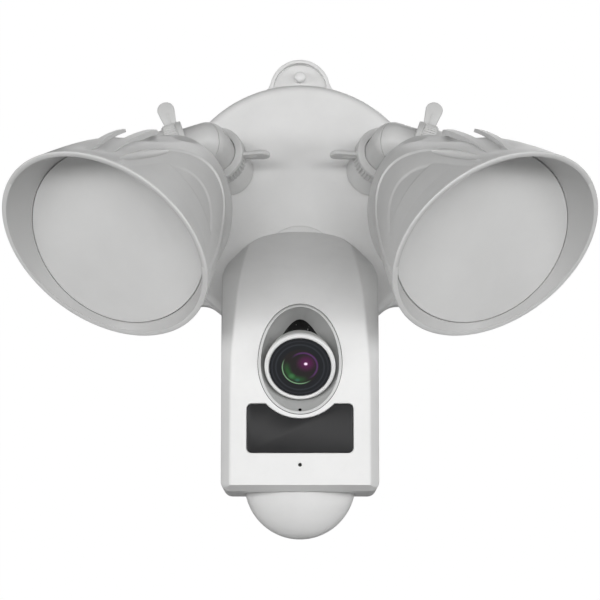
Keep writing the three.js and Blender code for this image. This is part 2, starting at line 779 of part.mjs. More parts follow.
// Cooling fins: conical plates that leave the hood at its rim and run straight back, so that
// they stand off its tapering top. Each ends on its inner side at a line from root to tip.
const finList = [
  { root: [12.4, -27], rootRadius: rimRadius - 1, tip: [-2, 41.2], tipRadius: rimRadius - 14.1 },
  { root: [22, -28], rootRadius: rimRadius - 1.2, tip: [8, 56], tipRadius: rimRadius - 20.6 },
];

function finSolid({ root, rootRadius, tip, tipRadius }) {
  const plate = turned(
    [
      [rootRadius - finThick, root[1]],
      [rootRadius, root[1]],
      [tipRadius, tip[1]],
      [tipRadius - finThick, tip[1]],
    ],
    40,
  );
  const slant = Math.atan2(root[0] - tip[0], tip[1] - root[1]) / deg;
  const side = box(-160, 0, -30, 120, finLow, 80).rotate([0, 0, slant]);
  const behindRim = box(-90, 90, 0.8, 120, -90, 90)
    .rotate([rimTip, 0, 0])
    .rotate([0, 0, rimTurn])
    .translate([rimMiddle.x, rimMiddle.y, rimMiddle.z]);
  return plate.intersect(side.translate([root[0], root[1], 0])).intersect(behindRim);
}

const diffuserDisc = () => {
  const dome = [];
  for (let i = 0; i <= 3; i += 1) {
    const r = (diffuserRadius * i) / 3;
    dome.push([r, -1.6 * (1 - (i / 3) ** 2)]);
  }
  return turned([...dome, [diffuserRadius, diffuserThick], [0, diffuserThick]], 40);
};

const lampReflector = () => {
  const front = diffuserThick + 2.4;
  return turned(
    [
      [diffuserRadius - 4, front],
      [diffuserRadius - 3.5, front + 1],
      [16, front + 16],
      [14, front + 16],
      [14, front + 14.5],
      [diffuserRadius - 6, front],
    ],
    32,
  );
};

const ledBoard = () => {
  const back = diffuserThick + 19;
  let board = rod(20, back, back + 1.6, 36);
  for (let i = 0; i < 6; i += 1) {
    const a = i * 60 * deg;
    board = board.add(
      box(-1.8, 1.8, back - 0.8, back + 0.2, -1.8, 1.8).translate([8 * Math.cos(a), 0, 8 * Math.sin(a)]),
    );
  }
  return board;
};

const diffuserSeal = () =>
  tube(diffuserRadius - 0.2, diffuserRadius - 2.8, diffuserThick + gap, diffuserThick + 2, 36);

const lampPieces = [
  ["base_nut", () => onArm(ringNut(90), -1), greyPlastic],
  ["base_seal", () => onArm(squeezed(), -1), rubber],
  ["arm_elbow", armElbow, greyPlastic],
  ["head_nut", () => onSideArm(ringNut(10).rotate([0, 0, 180])), greyPlastic],
  ["head_seal", () => onSideArm(squeezed().rotate([0, 0, 180])), rubber],
  ["lamp_housing", lampHousing, greyPlastic],
  ["diffuser", () => onLamp(diffuserDisc()), frosted],
  ["diffuser_seal", () => onLamp(diffuserSeal()), rubber],
  ["reflector", () => onLamp(lampReflector()), mirrorPlastic],
  ["led_board", () => onLamp(ledBoard()), circuitGreen],
];

for (const [side, mirror] of [["left", 1], ["right", -1]]) {
  const half = new THREE.Group();
  half.scale.x = mirror;
  for (const [name, make, material] of lampPieces) {
    half.add(part(`${side}_${name}`, make(), material));
  }
  object.add(half);
}

export default object;
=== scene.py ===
# Floodlight security camera: a round wall canopy, a camera body hung from it, and two hooded
# lamps on elbow arms. Metres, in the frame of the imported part: +X right, +Z up, wall at y = 0.
import math

import bmesh
import bpy
import numpy as np
from mathutils import Matrix, Vector


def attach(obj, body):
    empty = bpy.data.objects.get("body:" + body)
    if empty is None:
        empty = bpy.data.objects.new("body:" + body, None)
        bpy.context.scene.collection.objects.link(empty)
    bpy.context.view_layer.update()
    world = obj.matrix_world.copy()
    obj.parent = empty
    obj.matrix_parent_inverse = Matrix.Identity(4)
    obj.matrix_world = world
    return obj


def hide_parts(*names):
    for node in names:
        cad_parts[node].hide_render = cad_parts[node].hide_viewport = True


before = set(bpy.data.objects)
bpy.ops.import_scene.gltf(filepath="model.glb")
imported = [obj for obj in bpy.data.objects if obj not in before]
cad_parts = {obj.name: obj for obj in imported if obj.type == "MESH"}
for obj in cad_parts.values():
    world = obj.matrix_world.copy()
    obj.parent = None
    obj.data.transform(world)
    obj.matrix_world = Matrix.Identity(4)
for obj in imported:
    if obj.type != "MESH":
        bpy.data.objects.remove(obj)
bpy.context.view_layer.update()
MM = 0.001

# ---- studio --------------------------------------------------------------------------------
# A pale floor under the object, a plain white surround, and soft boxes. The camera stands about
# 1.3 m from the wall and a little below the object, as a person looking up at it does.
camera_data = bpy.data.cameras.new("camera")
camera_data.lens = 142.9
camera_data.sensor_width = 36.0
camera_data.clip_start = 0.05
camera_data.clip_end = 60.0
camera = bpy.data.objects.new("camera", camera_data)
bpy.context.scene.collection.objects.link(camera)
camera_target = Vector((0.0, -0.094, -0.0608))
camera_drop = math.radians(8.0)
camera_away = 1.25
look = Vector((0.0, math.cos(camera_drop), math.sin(camera_drop)))
camera.location = camera_target - look * camera_away
camera.rotation_euler = look.to_track_quat("-Z", "Y").to_euler()
bpy.context.scene.camera = camera
bpy.context.scene.view_settings.view_transform = "Standard"


def soft_box(name, place, aim, width, height, power, tint=(1.0, 1.0, 1.0)):
    """A rectangular area light that points at a spot."""
    data = bpy.data.lights.new(name, "AREA")
    data.shape = "RECTANGLE"
    data.size, data.size_y = width, height
    data.energy, data.color = power, tint
    light = bpy.data.objects.new(name, data)
    light.location = place
    light.rotation_euler = (Vector(aim) - Vector(place)).to_track_quat("-Z", "Y").to_euler()
    bpy.context.scene.collection.objects.link(light)
    return light


heart = (0.0, -0.09, -0.05)
soft_box("front_band", (0.0, -2.4, 0.06), heart, 2.6, 0.5, 33.0)
soft_box("left_band", (-1.8, -0.9, 0.02), heart, 1.6, 0.5, 13.0)
soft_box("right_band", (1.8, -0.9, 0.06), heart, 1.6, 0.5, 14.0)
soft_box("low_box", (-0.1, -2.0, -1.15), heart, 1.2, 0.6, 1.5)
soft_box("back_box", (0.3, 1.6, 0.9), heart, 1.4, 1.4, 12.0)

world = bpy.data.worlds.new("studio")
world.use_nodes = True
world.node_tree.nodes["Background"].inputs["Color"].default_value = (1.0, 1.0, 1.0, 1.0)
world.node_tree.nodes["Background"].inputs["Strength"].default_value = 0.07
bpy.context.scene.world = world


def stage_piece(name, points, faces, color, glow=0.0):
    mesh = bpy.data.meshes.new(name)
    mesh.from_pydata(points, [], faces)
    piece = bpy.data.objects.new(name, mesh)
    bpy.context.scene.collection.objects.link(piece)
    coat = bpy.data.materials.new(name)
    coat.use_nodes = True
    base = coat.node_tree.nodes["Principled BSDF"].inputs
    base["Base Color"].default_value = (*color, 1.0)
    base["Roughness"].default_value = 0.9
    base["Emission Color"].default_value = (1.0, 1.0, 1.0, 1.0)
    base["Emission Strength"].default_value = glow
    mesh.materials.append(coat)
    return piece


floor_level = -1.6
reach = 9.0
stage_piece(
    "floor",
    [(-reach, -reach, floor_level), (reach, -reach, floor_level),
     (reach, reach, floor_level), (-reach, reach, floor_level)],
    [(0, 1, 2, 3)],
    (0.74, 0.74, 0.74),
)
dome = bmesh.new()
bmesh.ops.create_icosphere(dome, subdivisions=3, radius=12.0)
surround = stage_piece(
    "surround",
    [tuple(v.co) for v in dome.verts],
    [tuple(v.index for v in f.verts) for f in dome.faces],
    (0.0, 0.0, 0.0),
    1.0,
)
dome.free()
surround.visible_diffuse = False
surround.visible_glossy = False
surround.visible_transmission = False
surround.visible_shadow = False

# ---- canopy --------------------------------------------------------------------------------
# Injection-moulded round cover with three fixing ears, a boss for the camera and two sockets
# for the lamp arms. One ABS moulding, 2.5 mm thick, screwed to the wall through the ears.


class Value:
    """An output socket; + - * and functions add Math nodes to its tree."""

    def __init__(self, tree, socket):
        self.tree, self.socket = tree, socket

    def maths(self, operation, *others):
        node = self.tree.nodes.new("ShaderNodeMath")
        node.operation = operation
        for slot_at, given in enumerate((self, *others)):
            if isinstance(given, Value):
                self.tree.links.new(given.socket, node.inputs[slot_at])
            else:
                node.inputs[slot_at].default_value = given
        return Value(self.tree, node.outputs[0])

    def __add__(self, other):
        return self.maths("ADD", other)

    def __mul__(self, other):
        return self.maths("MULTIPLY", other)

    def __sub__(self, other):
        return self.maths("SUBTRACT", other)

    def __rsub__(self, other):
        return (self * -1.0).maths("ADD", other)

    __radd__, __rmul__ = __add__, __mul__

    def between(self, low, high):
        """0 below low, 1 above high, smooth in between."""
        node = self.tree.nodes.new("ShaderNodeMapRange")
        node.interpolation_type = "SMOOTHSTEP"
        self.tree.links.new(self.socket, node.inputs["Value"])
        node.inputs["From Min"].default_value = low
        node.inputs["From Max"].default_value = high
        return Value(self.tree, node.outputs["Result"])


class Finish:
    """A material under construction: its tree, its shader and its object coordinates."""

    def __init__(self, name, **plain):
        self.material = bpy.data.materials.new(name)
        self.material.use_nodes = True
        self.tree = self.material.node_tree
        self.shader = self.tree.nodes["Principled BSDF"]
        for socket, given in plain.items():
            self.shader.inputs[socket.replace("_", " ")].default_value = given
        self.place = self.node("ShaderNodeTexCoord", out="Object")

    def node(self, kind, settings=None, out=0, **links):
        made = self.tree.nodes.new(kind)
        for key, given in (settings or {}).items():
            setattr(made, key, given)
        for key, given in links.items():
            name = key.replace("_", " ")
            socket = made.inputs[name] if name in made.inputs else made.inputs[int(key[1:])]
            if isinstance(given, Value):
                self.tree.links.new(given.socket, socket)
            else:
                socket.default_value = given
        return Value(self.tree, made.outputs[out])

    def noise(self, scale, detail=2.0, rough=0.5):
        return self.node("ShaderNodeTexNoise", Vector=self.place, Scale=scale, Detail=detail,
                         Roughness=rough)

    def mix(self, factor, first, second):
        made = self.tree.nodes.new("ShaderNodeMix")
        made.data_type = "RGBA"
        for socket, given in ((0, factor), (6, first), (7, second)):
            if isinstance(given, Value):
                self.tree.links.new(given.socket, made.inputs[socket])
            else:
                made.inputs[socket].default_value = given
        return Value(self.tree, made.outputs[2])

    def feed(self, socket, value):
        self.tree.links.new(value.socket, self.shader.inputs[socket])

    def bump(self, height, strength, distance):
        made = self.node("ShaderNodeBump", Strength=strength, Distance=distance, Height=height)
        self.feed("Normal", made)


def shade(color, times):
    return (*(min(1.0, channel * times) for channel in color), 1.0)


def moulded(name, color, roughness=0.5, grain=0.25, painted_shade_attribute=None, painted_shade_factor=1.0, **plain):
    """Textured moulded plastic: spark-eroded grain, faint flow marks and a little dust. Where
    the named mesh attribute is 1, painted shade darkens the base colour by the given factor;
    the roughness there is unchanged.
    """
    made = Finish(name, **plain)
    fine = made.noise(2600.0, 2.0)
    flow = made.noise(38.0, 4.0, 0.6)
    dust = made.noise(160.0, 6.0, 0.65).between(0.52, 0.72)
    tone = made.mix(flow.between(0.3, 0.7), shade(color, 0.975), shade(color, 1.015))
    tone = made.mix(dust * 0.22, tone, shade(color, 0.93))
    # Painted shade: where the attribute is 1, the base colour is mixed toward a darker copy of the
    # colour.
    if painted_shade_attribute:
        painted_shade_mask = made.node("ShaderNodeAttribute", {"attribute_name": painted_shade_attribute}, out="Fac")
        tone = made.mix(painted_shade_mask, tone, shade(color, painted_shade_factor))
    made.feed("Base Color", tone)
    made.feed("Roughness", fine * 0.1 + flow * 0.08 + (roughness - 0.09))
    made.bump(fine, grain, 0.00006)
    return made.material


def rounded(points, radius, steps=4):
    """A closed outline with its corners rounded; radius is one size or one for each corner."""
    made = []
    count = len(points)
    for i, corner in enumerate(points):
        corner = Vector(corner)
        size = radius[i] if isinstance(radius, (list, tuple)) else radius
        before = Vector(points[i - 1]) - corner
        after = Vector(points[(i + 1) % count]) - corner
        size = min(size, before.length * 0.49, after.length * 0.49)
        if size < 1e-6:
            made.append(corner)
            continue
        start, end = corner + before.normalized() * size, corner + after.normalized() * size
        for k in range(steps + 1):
            t = k / steps
            made.append(start * (1 - t) ** 2 + corner * 2 * t * (1 - t) + end * t * t)
    return made


def shape_from(name, points, faces):
    """An object from points in millimetres."""
    mesh = bpy.data.meshes.new(name)
    mesh.from_pydata([Vector(p) * MM for p in points], [], faces)
    made = bpy.data.objects.new(name, mesh)
    bpy.context.scene.collection.objects.link(made)
    return made


def tidy_mesh(made, gap=1e-7):
    """Merges doubles and turns every face outwards."""
    work = bmesh.new()
    work.from_mesh(made.data)
    bmesh.ops.remove_doubles(work, verts=work.verts, dist=gap)
    bmesh.ops.dissolve_degenerate(work, dist=gap, edges=work.edges)
    bmesh.ops.recalc_face_normals(work, faces=work.faces)
    work.to_mesh(made.data)
    work.free()
    return made


def lathed(name, outline, steps=128, place=None):
    """A solid of revolution about Y from a closed outline of (radius, y) points."""
    points, faces = [], []
    count = len(outline)
    for i in range(steps):
        a = 2 * math.pi * i / steps
        for r, y in outline:
            points.append(Vector((r * math.cos(a), y, r * math.sin(a))))
    for i in range(steps):
        j = (i + 1) % steps
        for k in range(count):
            m = (k + 1) % count
            if outline[k][0] < 1e-6 and outline[m][0] < 1e-6:
                continue
            faces.append((i * count + k, i * count + m, j * count + m, j * count + k))
    if place is not None:
        points = [place @ p for p in points]
    return tidy_mesh(shape_from(name, points, faces), 1e-6)


def lofted(name, rings, place=None):
    """A closed solid through rings of equal counts, with flat ends."""
    count = len(rings[0])
    points = [Vector(p) for ring in rings for p in ring]
    faces = []
    for a in range(len(rings) - 1):
        for k in range(count):
            m = (k + 1) % count
            faces.append((a * count + k, a * count + m, (a + 1) * count + m, (a + 1) * count + k))
    faces.append(tuple(range(count)))
    faces.append(tuple(reversed(range((len(rings) - 1) * count, len(rings) * count))))
    if place is not None:
        points = [place @ p for p in points]
    return tidy_mesh(shape_from(name, points, faces))


def plate(name, outline, y0, y1, edge=0.0, place=None, back_edge=0.0):
    """A front-view outline (x, z) given depth from y0 to y1, its front edge rounded by edge."""
    flat = [Vector(p) for p in outline]
    count = len(flat)
    inwards = 1 if signed_area(flat) > 0 else -1
    normals = []
    for i in range(count):
        along = (flat[(i + 1) % count] - flat[i - 1]).normalized()
        normals.append(Vector((-along.y, along.x)) * inwards)
    turns = [(y0, edge, 1, a) for a in ((0, 25, 50, 75, 90) if edge else (90,))]
    turns += [(y1, back_edge, -1, a) for a in ((90, 75, 50, 25, 0) if back_edge else (90,))]
    rings = []
    for y, size, way, a in turns:
        inward = size * (1 - math.sin(math.radians(a)))
        depth = way * size * (1 - math.cos(math.radians(a)))
        rings.append([((p + n * inward).x, y + depth, (p + n * inward).y)
                      for p, n in zip(flat, normals)])
    return lofted(name, rings, place)


def signed_area(flat):
    return sum(flat[i - 1].x * flat[i].y - flat[i].x * flat[i - 1].y for i in range(len(flat))) / 2


def arc(cx, cz, radius, start, end, steps=24):
    """Points on a circle between two angles in degrees."""
    return [
        (cx + radius * math.cos(math.radians(start + (end - start) * i / steps)),
         cz + radius * math.sin(math.radians(start + (end - start) * i / steps)))
        for i in range(steps + 1)
    ]


def combine(main, others, operation):
    """Joins or cuts with exact booleans, one after another; the others are used up."""
    for other in others:
        step = main.modifiers.new("cut", "BOOLEAN")
        step.operation, step.solver, step.object = operation, "EXACT", other
        done = bpy.data.meshes.new_from_object(
            main.evaluated_get(bpy.context.evaluated_depsgraph_get())
        )
        main.modifiers.clear()
        main.data = done
        bpy.data.objects.remove(other)
    return main


def finished(piece, body, coat, slot, *nodes, sharp=32.0):
    """Smooth shading up to an angle, the material, and the ties to the frame."""
    piece.data.shade_smooth()
    piece.data.set_sharp_from_angle(angle=math.radians(sharp))
    piece.data.materials.clear()
    piece.data.materials.append(coat)
    piece.data.polygons.foreach_set("material_index", [0] * len(piece.data.polygons))
    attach(piece, body)
    if nodes:
        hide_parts(*nodes)
    return piece


canopy_radius, canopy_side, canopy_rise = 72.0, 23.0, 6.0
cover_back, cover_wall = -2.3, 2.5
shoulder_round = 5.0
ear_radius, ear_fillet, ear_depth, ear_rim = 17.0, 12.0, 10.0, 1.9
ear_hole_out, ear_hole = 7.5, 2.6
boss_radius, boss_drop, boss_front = 22.0, 33.5, 38.0
stem_hole = 7.3
arm_yaw, arm_pitch = 14.8, 10.8
arm_foot = Vector((-45.0, -48.0, 25.0))
barrel_radius, nut_thread, clear = 11.0, 13.5, 0.3


def canopy_outline(inset, back):
    """Half section of the canopy's cap, shrunk by inset, from the axis to the back edge."""
    shoulder = canopy_radius - shoulder_round
    points = []
    for i in range(13):
        r = shoulder * i / 12
        bulge = canopy_rise * (1 - (r / shoulder) ** 2)
        points.append((r, -(canopy_side + bulge) + inset))
    for i in range(1, 9):
        a = math.radians(90 * i / 8)
        size = shoulder_round - inset
        points.append((shoulder + size * math.sin(a),
                       -canopy_side + inset + size * (1 - math.cos(a))))
    points += [(canopy_radius - inset, back), (0.0, back)]
    return points


def ear_outline():
    """Front view of one ear at the top: a round lobe that hollow curves join to the rim."""
    far, near = canopy_radius + ear_fillet, ear_radius + ear_fillet
    cosine = (far ** 2 + canopy_radius ** 2 - near ** 2) / (2 * far * canopy_radius)
    out = math.degrees(math.acos(cosine))
    fx, fz = far * math.sin(math.radians(out)), far * math.cos(math.radians(out))
    lobe = math.degrees(math.atan2(fz - canopy_radius, fx))
    inner = canopy_radius - 12
    right = arc(fx, fz, ear_fillet, 270 - out, 180 + lobe, 14)
    left = [(-x, z) for x, z in reversed(right)]
    foot = (inner * math.sin(math.radians(out)), inner * math.cos(math.radians(out)))
    lobe_arc = arc(0, canopy_radius, ear_radius, lobe, 180 - lobe, 40)
    return [(0, inner), foot, *right, *lobe_arc[1:-1], *left, (-foot[0], foot[1])]


def turn_y(degrees):
    return Matrix.Rotation(math.radians(degrees), 4, "Y")


def on_arm(side):
    """Places what is built along -Y at an arm socket, pointing along the arm."""
    foot = Vector((side * -arm_foot.x, arm_foot.y, arm_foot.z))
    turn = Matrix.Rotation(math.radians(side * arm_yaw), 4, "Z")
    return (Matrix.Translation(foot) @ turn
            @ Matrix.Rotation(math.radians(-arm_pitch), 4, "X"))


def rod_outline(radius, y0, y1, edge=0.0):
    """Half section of a bar from y0, its rounded front end, to y1."""
    corner = [(radius - edge * (1 - math.sin(math.radians(a))),
               y0 + edge * (1 - math.cos(math.radians(a)))) for a in (0, 30, 60, 90)]
    return [(0.0, y0), *(corner if edge else [(radius, y0)]), (radius, y1), (0.0, y1)]


canopy = lathed("canopy", canopy_outline(0.0, cover_back), 192)
lugs, pockets = [], []
for angle in (0, 120, 240):
    turn = turn_y(angle)
    lugs.append(plate("lug", ear_outline(), -ear_depth, cover_back, 0.7, turn))
    hollow = arc(0, canopy_radius, ear_radius - ear_rim, -18, 198, 40)
    pockets.append(plate("pocket", hollow, -ear_depth - 1, cover_back - cover_wall, 0, turn))
    hole = lathed("hole", rod_outline(ear_hole, -30, 10), 32,
                  turn @ Matrix.Translation((0, 0, canopy_radius + ear_hole_out)))
    pockets.append(hole)
boss_place = Matrix.Translation((0, 0, -boss_drop))
boss = lathed("boss", rod_outline(boss_radius, -boss_front, -canopy_side, 0.8), 96, boss_place)
sockets = [lathed("socket", rod_outline(nut_thread, 0, 24, 0.6), 72, on_arm(s)) for s in (-1, 1)]
inside = lathed("inside", canopy_outline(cover_wall, 10.0), 96)
bores = [lathed("bore", rod_outline(barrel_radius + clear, -1, 40), 72, on_arm(s))
         for s in (-1, 1)]
stem = lathed("stem", rod_outline(stem_hole, -60, 10), 48, boss_place)
combine(canopy, lugs + [boss] + sockets, "UNION")
groove = [(boss_radius - 0.7, -34.6), (boss_radius + 1, -34.6), (boss_radius + 1, -33.9),
          (boss_radius - 0.7, -33.9)]
boss_line = lathed("groove", groove, 96, boss_place)
combine(canopy, [inside, *pockets, *bores, stem, boss_line], "DIFFERENCE")
white_color = (0.80, 0.80, 0.795)
white_coat = moulded("white_moulding", white_color, 0.46)
finished(canopy, "camera_and_canopy", white_coat, "white_plastic", "canopy_cover")

# ---- ear screws ----------------------------------------------------------------------------
# A screw with a milky round cap sits in the pocket of each ear and holds the canopy to the
# wall. Steel shank, moulded cap.
pearl_color = (0.84, 0.84, 0.835)
pearl_coat = moulded("milky_moulding", pearl_color, 0.38, 0.12,
                     Subsurface_Weight=0.25, Subsurface_Radius=(0.004, 0.004, 0.004),
                     Coat_Weight=0.15, Coat_Roughness=0.25)
cap_outline = [(0.0, -9.25), (1.2, -9.2), (2.2, -8.95), (2.85, -8.45), (3.15, -7.7),
               (3.2, -6.9), (3.2, -5.0), (2.3, -4.8), (2.3, cover_back), (0.0, cover_back)]
for place_name, angle in (("top", 0), ("right", 120), ("left", 240)):
    spot = turn_y(angle) @ Matrix.Translation((0, 0, canopy_radius + ear_hole_out))
    cap = lathed(f"ear_cap_{place_name}", cap_outline, 48, spot)
    finished(cap, "camera_and_canopy", pearl_coat, "pearl_plastic", f"ear_screw_{place_name}")

# ---- camera housing ------------------------------------------------------------------------
# Moulded ABS shell that hangs from the canopy's boss: a flat bevelled front that curves back
# to the wall at the top, with openings for the lens bowl, the dark window and the dome.
body_half, body_top, body_bottom = 41.4, -17.0, -160.6
body_back, body_front, body_rear = 38.3, 96.0, 3.2
bevel_out, bevel_deep, bevel_low = 4.9, 8.0, 2.7
face_wide, crown_start, crown_back = -115.0, -76.0, 46.0
corner_round, shell_wall = 5.0, 2.5
crown_points = [(0, 0), (12, 0.8), (23, 4), (29, 8.6), (34, 14.6), (38.8, 20.8), (41.4, 28)]


def smooth_line(points, t):
    """A point on a Catmull-Rom line, t from 0 to 1."""
    at = t * (len(points) - 1)
    i = min(int(at), len(points) - 2)
    u = at - i
    p = [Vector(points[max(0, min(len(points) - 1, i + k))]) for k in (-1, 0, 1, 2)]
    v0, v1 = (p[2] - p[0]) * 0.5, (p[3] - p[1]) * 0.5
    return (p[1] * (2 * u ** 3 - 3 * u * u + 1) + v0 * (u ** 3 - 2 * u * u + u)
            + p[2] * (3 * u * u - 2 * u ** 3) + v1 * (u ** 3 - u * u))


def lean_back(z):
    part = max(0.0, (z - crown_start) / (body_top - crown_start))
    return crown_back * part ** 2.1


def face_half(z):
    return body_half - bevel_out - 0.0011 * max(0.0, z - face_wide) ** 2


def body_slices():
    """(half width, height) of each horizontal slice, from the crown to the foot."""
    made = []
    for i in range(1, 41):
        x, drop = smooth_line(crown_points, (i / 40) ** 0.8)
        made.append((max(x, 0.6), body_top - drop))
    made += [(body_half, -45.0 - (face_wide + 45.0) * -i / 44) for i in range(1, 45)]
    made += [(body_half, face_wide - (face_wide - body_bottom - corner_round) * i / 24)
             for i in range(1, 25)]
    for i in range(1, 11):
        a = math.radians(90 * i / 10)
        made.append((body_half - corner_round * (1 - math.cos(a)),
                     body_bottom + corner_round * (1 - math.sin(a))))
    return made


def body_ring(x, z, inset, soft):
    """One horizontal slice of the body, shrunk by inset, edges rounded by soft."""
    foot = z - body_bottom
    low = min(1.0, max(foot, 0.02) / bevel_low)
    front = -body_front + lean_back(z) + bevel_deep * (1 - low) + inset
    back = -body_back - inset
    wide = max(0.4, x - inset)
    edge = min(wide * 0.93, face_half(z) - inset + bevel_out * (1 - low))
    side_front = min(-body_front + lean_back(z) + bevel_deep + inset, back - 0.05)
    front = min(front, back - 0.1)
    if side_front < front + 0.05:
        side_front = front + 0.05
    half = [(wide, back), (wide, side_front), (max(edge, 0.3), front)]
    outline = half + [(-a, b) for a, b in reversed(half)]
    sizes = [0.05, soft, soft, soft, soft, 0.05]
    return [(p.x, p.y, z) for p in rounded(outline, sizes, 5)]


def body_solid(name, inset, soft):
    rings = []
    for x, z in body_slices():
        height = z if inset == 0 else min(body_top - inset, max(body_bottom + inset, z))
        if rings and abs(rings[-1][0][2] - height) < 0.02:
            continue
        rings.append(body_ring(x, height, inset, soft))
    return lofted(name, rings)


def block(name, x0, x1, y0, y1, z0, z1):
    outline = [(x0, z0), (x1, z0), (x1, z1), (x0, z1)]
    return plate(name, outline, y0, y1)


bowl_half, bowl_middle, bowl_up, bowl_down = 21.9, -94.6, 31.5, 26.4
window_half, window_top, window_bottom, window_round = 27.7, -115.6, -141.2, 2.6
bite_radius, bite_middle, window_thick = 24.7, -98.6, 1.6
mic_height, mic_radius = -147.4, 1.0
dome_half, dome_deep, dome_down = 29.5, 21.0, 29.8
dome_place = Vector((0.0, -64.5, -155.0))
dome_wall = 1.6


def egg(grow, steps=120):
    """The lens recess seen from the front: a taller half ellipse over a shorter one."""
    made = []
    for i in range(steps):
        a = 2 * math.pi * i / steps
        tall = bowl_up if math.sin(a) > 0 else bowl_down
        made.append(((bowl_half + grow) * math.cos(a),
                     bowl_middle + (tall + grow) * math.sin(a)))
    return made


def window_outline(grow):
    """The dark window: a rounded rectangle with a round bite out of its top edge."""
    half, top, low = window_half + grow, window_top + grow, window_bottom - grow
    r, bite = window_round + grow, bite_radius - grow
    meet = math.degrees(math.asin((bite_middle - top) / bite))
    made = arc(half - r, low + r, r, -90, 0, 8) + arc(half - r, top - r, r, 0, 90, 8)
    made += arc(0, bite_middle, bite, -meet, -180 + meet, 40)
    made += arc(-half + r, top - r, r, 90, 180, 8) + arc(-half + r, low + r, r, 180, 270, 8)
    return made


def ellipsoid(name, grow, steps=96):
    """The dome's ball shape, larger by grow."""
    half = [math.pi * k / (steps // 2) for k in range(steps // 2 + 1)]
    made = lathed(name, [(math.sin(a), math.cos(a)) for a in half], steps)
    stretch = Matrix.Diagonal((dome_half + grow, dome_down + grow, dome_deep + grow, 1.0))
    turn = Matrix.Rotation(math.radians(90), 4, "X")
    made.data.transform(
        Matrix.Translation(dome_place * MM) @ turn @ stretch
    )
    return tidy_mesh(made)


rear_split = -(body_back + body_rear)
shell = body_solid("camera_housing", 0.0, 1.1)
front_half = block("cut", -60, 60, rear_split - clear, 10, -200, 0)
inner = body_solid("inner", shell_wall, 0.6)
egg_hole = plate("hole", egg(clear), -125, -70)
window_pocket = plate("hole", window_outline(clear), -125, -body_front + window_thick)
window_hole = plate("hole", window_outline(-2.0), -125, -80)
mic_hole = lathed("hole", rod_outline(mic_radius, -125, -80), 32,
                  Matrix.Translation((0, 0, mic_height)))
combine(shell, [front_half, inner, egg_hole, window_pocket, window_hole, mic_hole,
                ellipsoid("hole", clear)], "DIFFERENCE")
face_coat = moulded("front_moulding", (0.83, 0.83, 0.825), 0.42, 0.16,
                    Coat_Weight=0.12, Coat_Roughness=0.3)
finished(shell, "camera_and_canopy", face_coat, "white_plastic", "body_front_shell", sharp=24)

# ---- lens bowl -----------------------------------------------------------------------------
# Satin grey moulded dish, egg-shaped at the front and round at the back, pressed into the
# housing from inside. Its chamfered lip stands flush; a pin hole in the lower lip vents it.
lens_tilt = 29.0
lens_front = (-99.0, -97.1)
lens_length, ball_radius, throat_radius, throat_rise = 5.5, 17.6, 16.2, 8.5
bowl_wall, bowl_depth = 1.4, 12.0
aim = Vector((0.0, -math.cos(math.radians(lens_tilt)), -math.sin(math.radians(lens_tilt))))
lens_pivot = Vector((0.0, *lens_front)) - aim * lens_length
on_lens = Matrix.Translation(lens_pivot) @ Matrix.Rotation(math.radians(lens_tilt), 4, "X")
bowl_back = -body_front + bowl_depth


def bowl_ring(grow, t, ahead=0.0):
    """One ring of the dish; t runs from the lip, 0, to the round throat, 1."""
    ring = []
    lip = egg(grow)
    blend = t ** 0.85
    for i, (x, z) in enumerate(lip):
        a = 2 * math.pi * i / len(lip)
        tx = (throat_radius + max(grow + bowl_wall, 0)) * math.cos(a)
        tz = lens_pivot.z + (throat_radius + max(grow + bowl_wall, 0)) * math.sin(a)
        tz += throat_rise * max(0.0, math.sin(a)) ** 5
        start = -body_front + lean_back(z) - ahead
        end = bowl_back
        ring.append((x + (tx - x) * t, start + (end - start) * blend, z + (tz - z) * t))
    return ring


steps = 14
inner_rings = [bowl_ring(-bowl_wall, k / steps) for k in range(steps + 1)]
outer_rings = [bowl_ring(0.0, k / steps) for k in range(steps + 1)]
lip_ring = [((a[0] + b[0]) / 2, a[1] - 0.12, (a[2] + b[2]) / 2)
            for a, b in zip(inner_rings[0], outer_rings[0])]
rings = outer_rings[::-1] + [lip_ring] + inner_rings
count = len(rings[0])
points = [p for ring in rings for p in ring]
faces = []
for a in range(len(rings)):
    b = (a + 1) % len(rings)
    for k in range(count):
        m = (k + 1) % count
        faces.append((a * count + k, a * count + m, b * count + m, b * count + k))
bowl = tidy_mesh(shape_from("lens_dish", points, faces))
vent = lathed("vent", rod_outline(0.9, -120, -80), 24, Matrix.Translation((0, 0, -118.6)))
combine(bowl, [vent], "DIFFERENCE")
satin_coat = moulded("satin_grey_moulding", (0.57, 0.575, 0.57), 0.36, 0.1,
                     Coat_Weight=0.3, Coat_Roughness=0.22)
finished(bowl, "camera_and_canopy", satin_coat, "satin_grey_plastic", "lens_bowl", sharp=40)

# ---- lens ball -----------------------------------------------------------------------------
# Hollow moulded ball that turns in its seat; a white ring closes its front and clamps the
# cover glass over the black lens barrel.
glass_radius, lens_radius = 16.1, 18.5
front_angle = math.acos((lens_length - 3) / ball_radius)
angles = [front_angle + (math.pi - front_angle) * i / 40 for i in range(41)]
outside = [(ball_radius * math.sin(a), -ball_radius * math.cos(a)) for a in angles]
inner_radius = ball_radius - 2.0
inner_front = math.acos((lens_length - 3) / inner_radius)
angles = [math.pi - (math.pi - inner_front) * i / 40 for i in range(41)]
inside_line = [(inner_radius * math.sin(a), -inner_radius * math.cos(a)) for a in angles]
ball = lathed("lens_ball", outside + inside_line, 96, on_lens)
ball_coat = moulded("grey_ball_moulding", (0.56, 0.56, 0.55), 0.4, 0.12)
finished(ball, "lens", ball_coat, "white_plastic", "lens_eyeball")

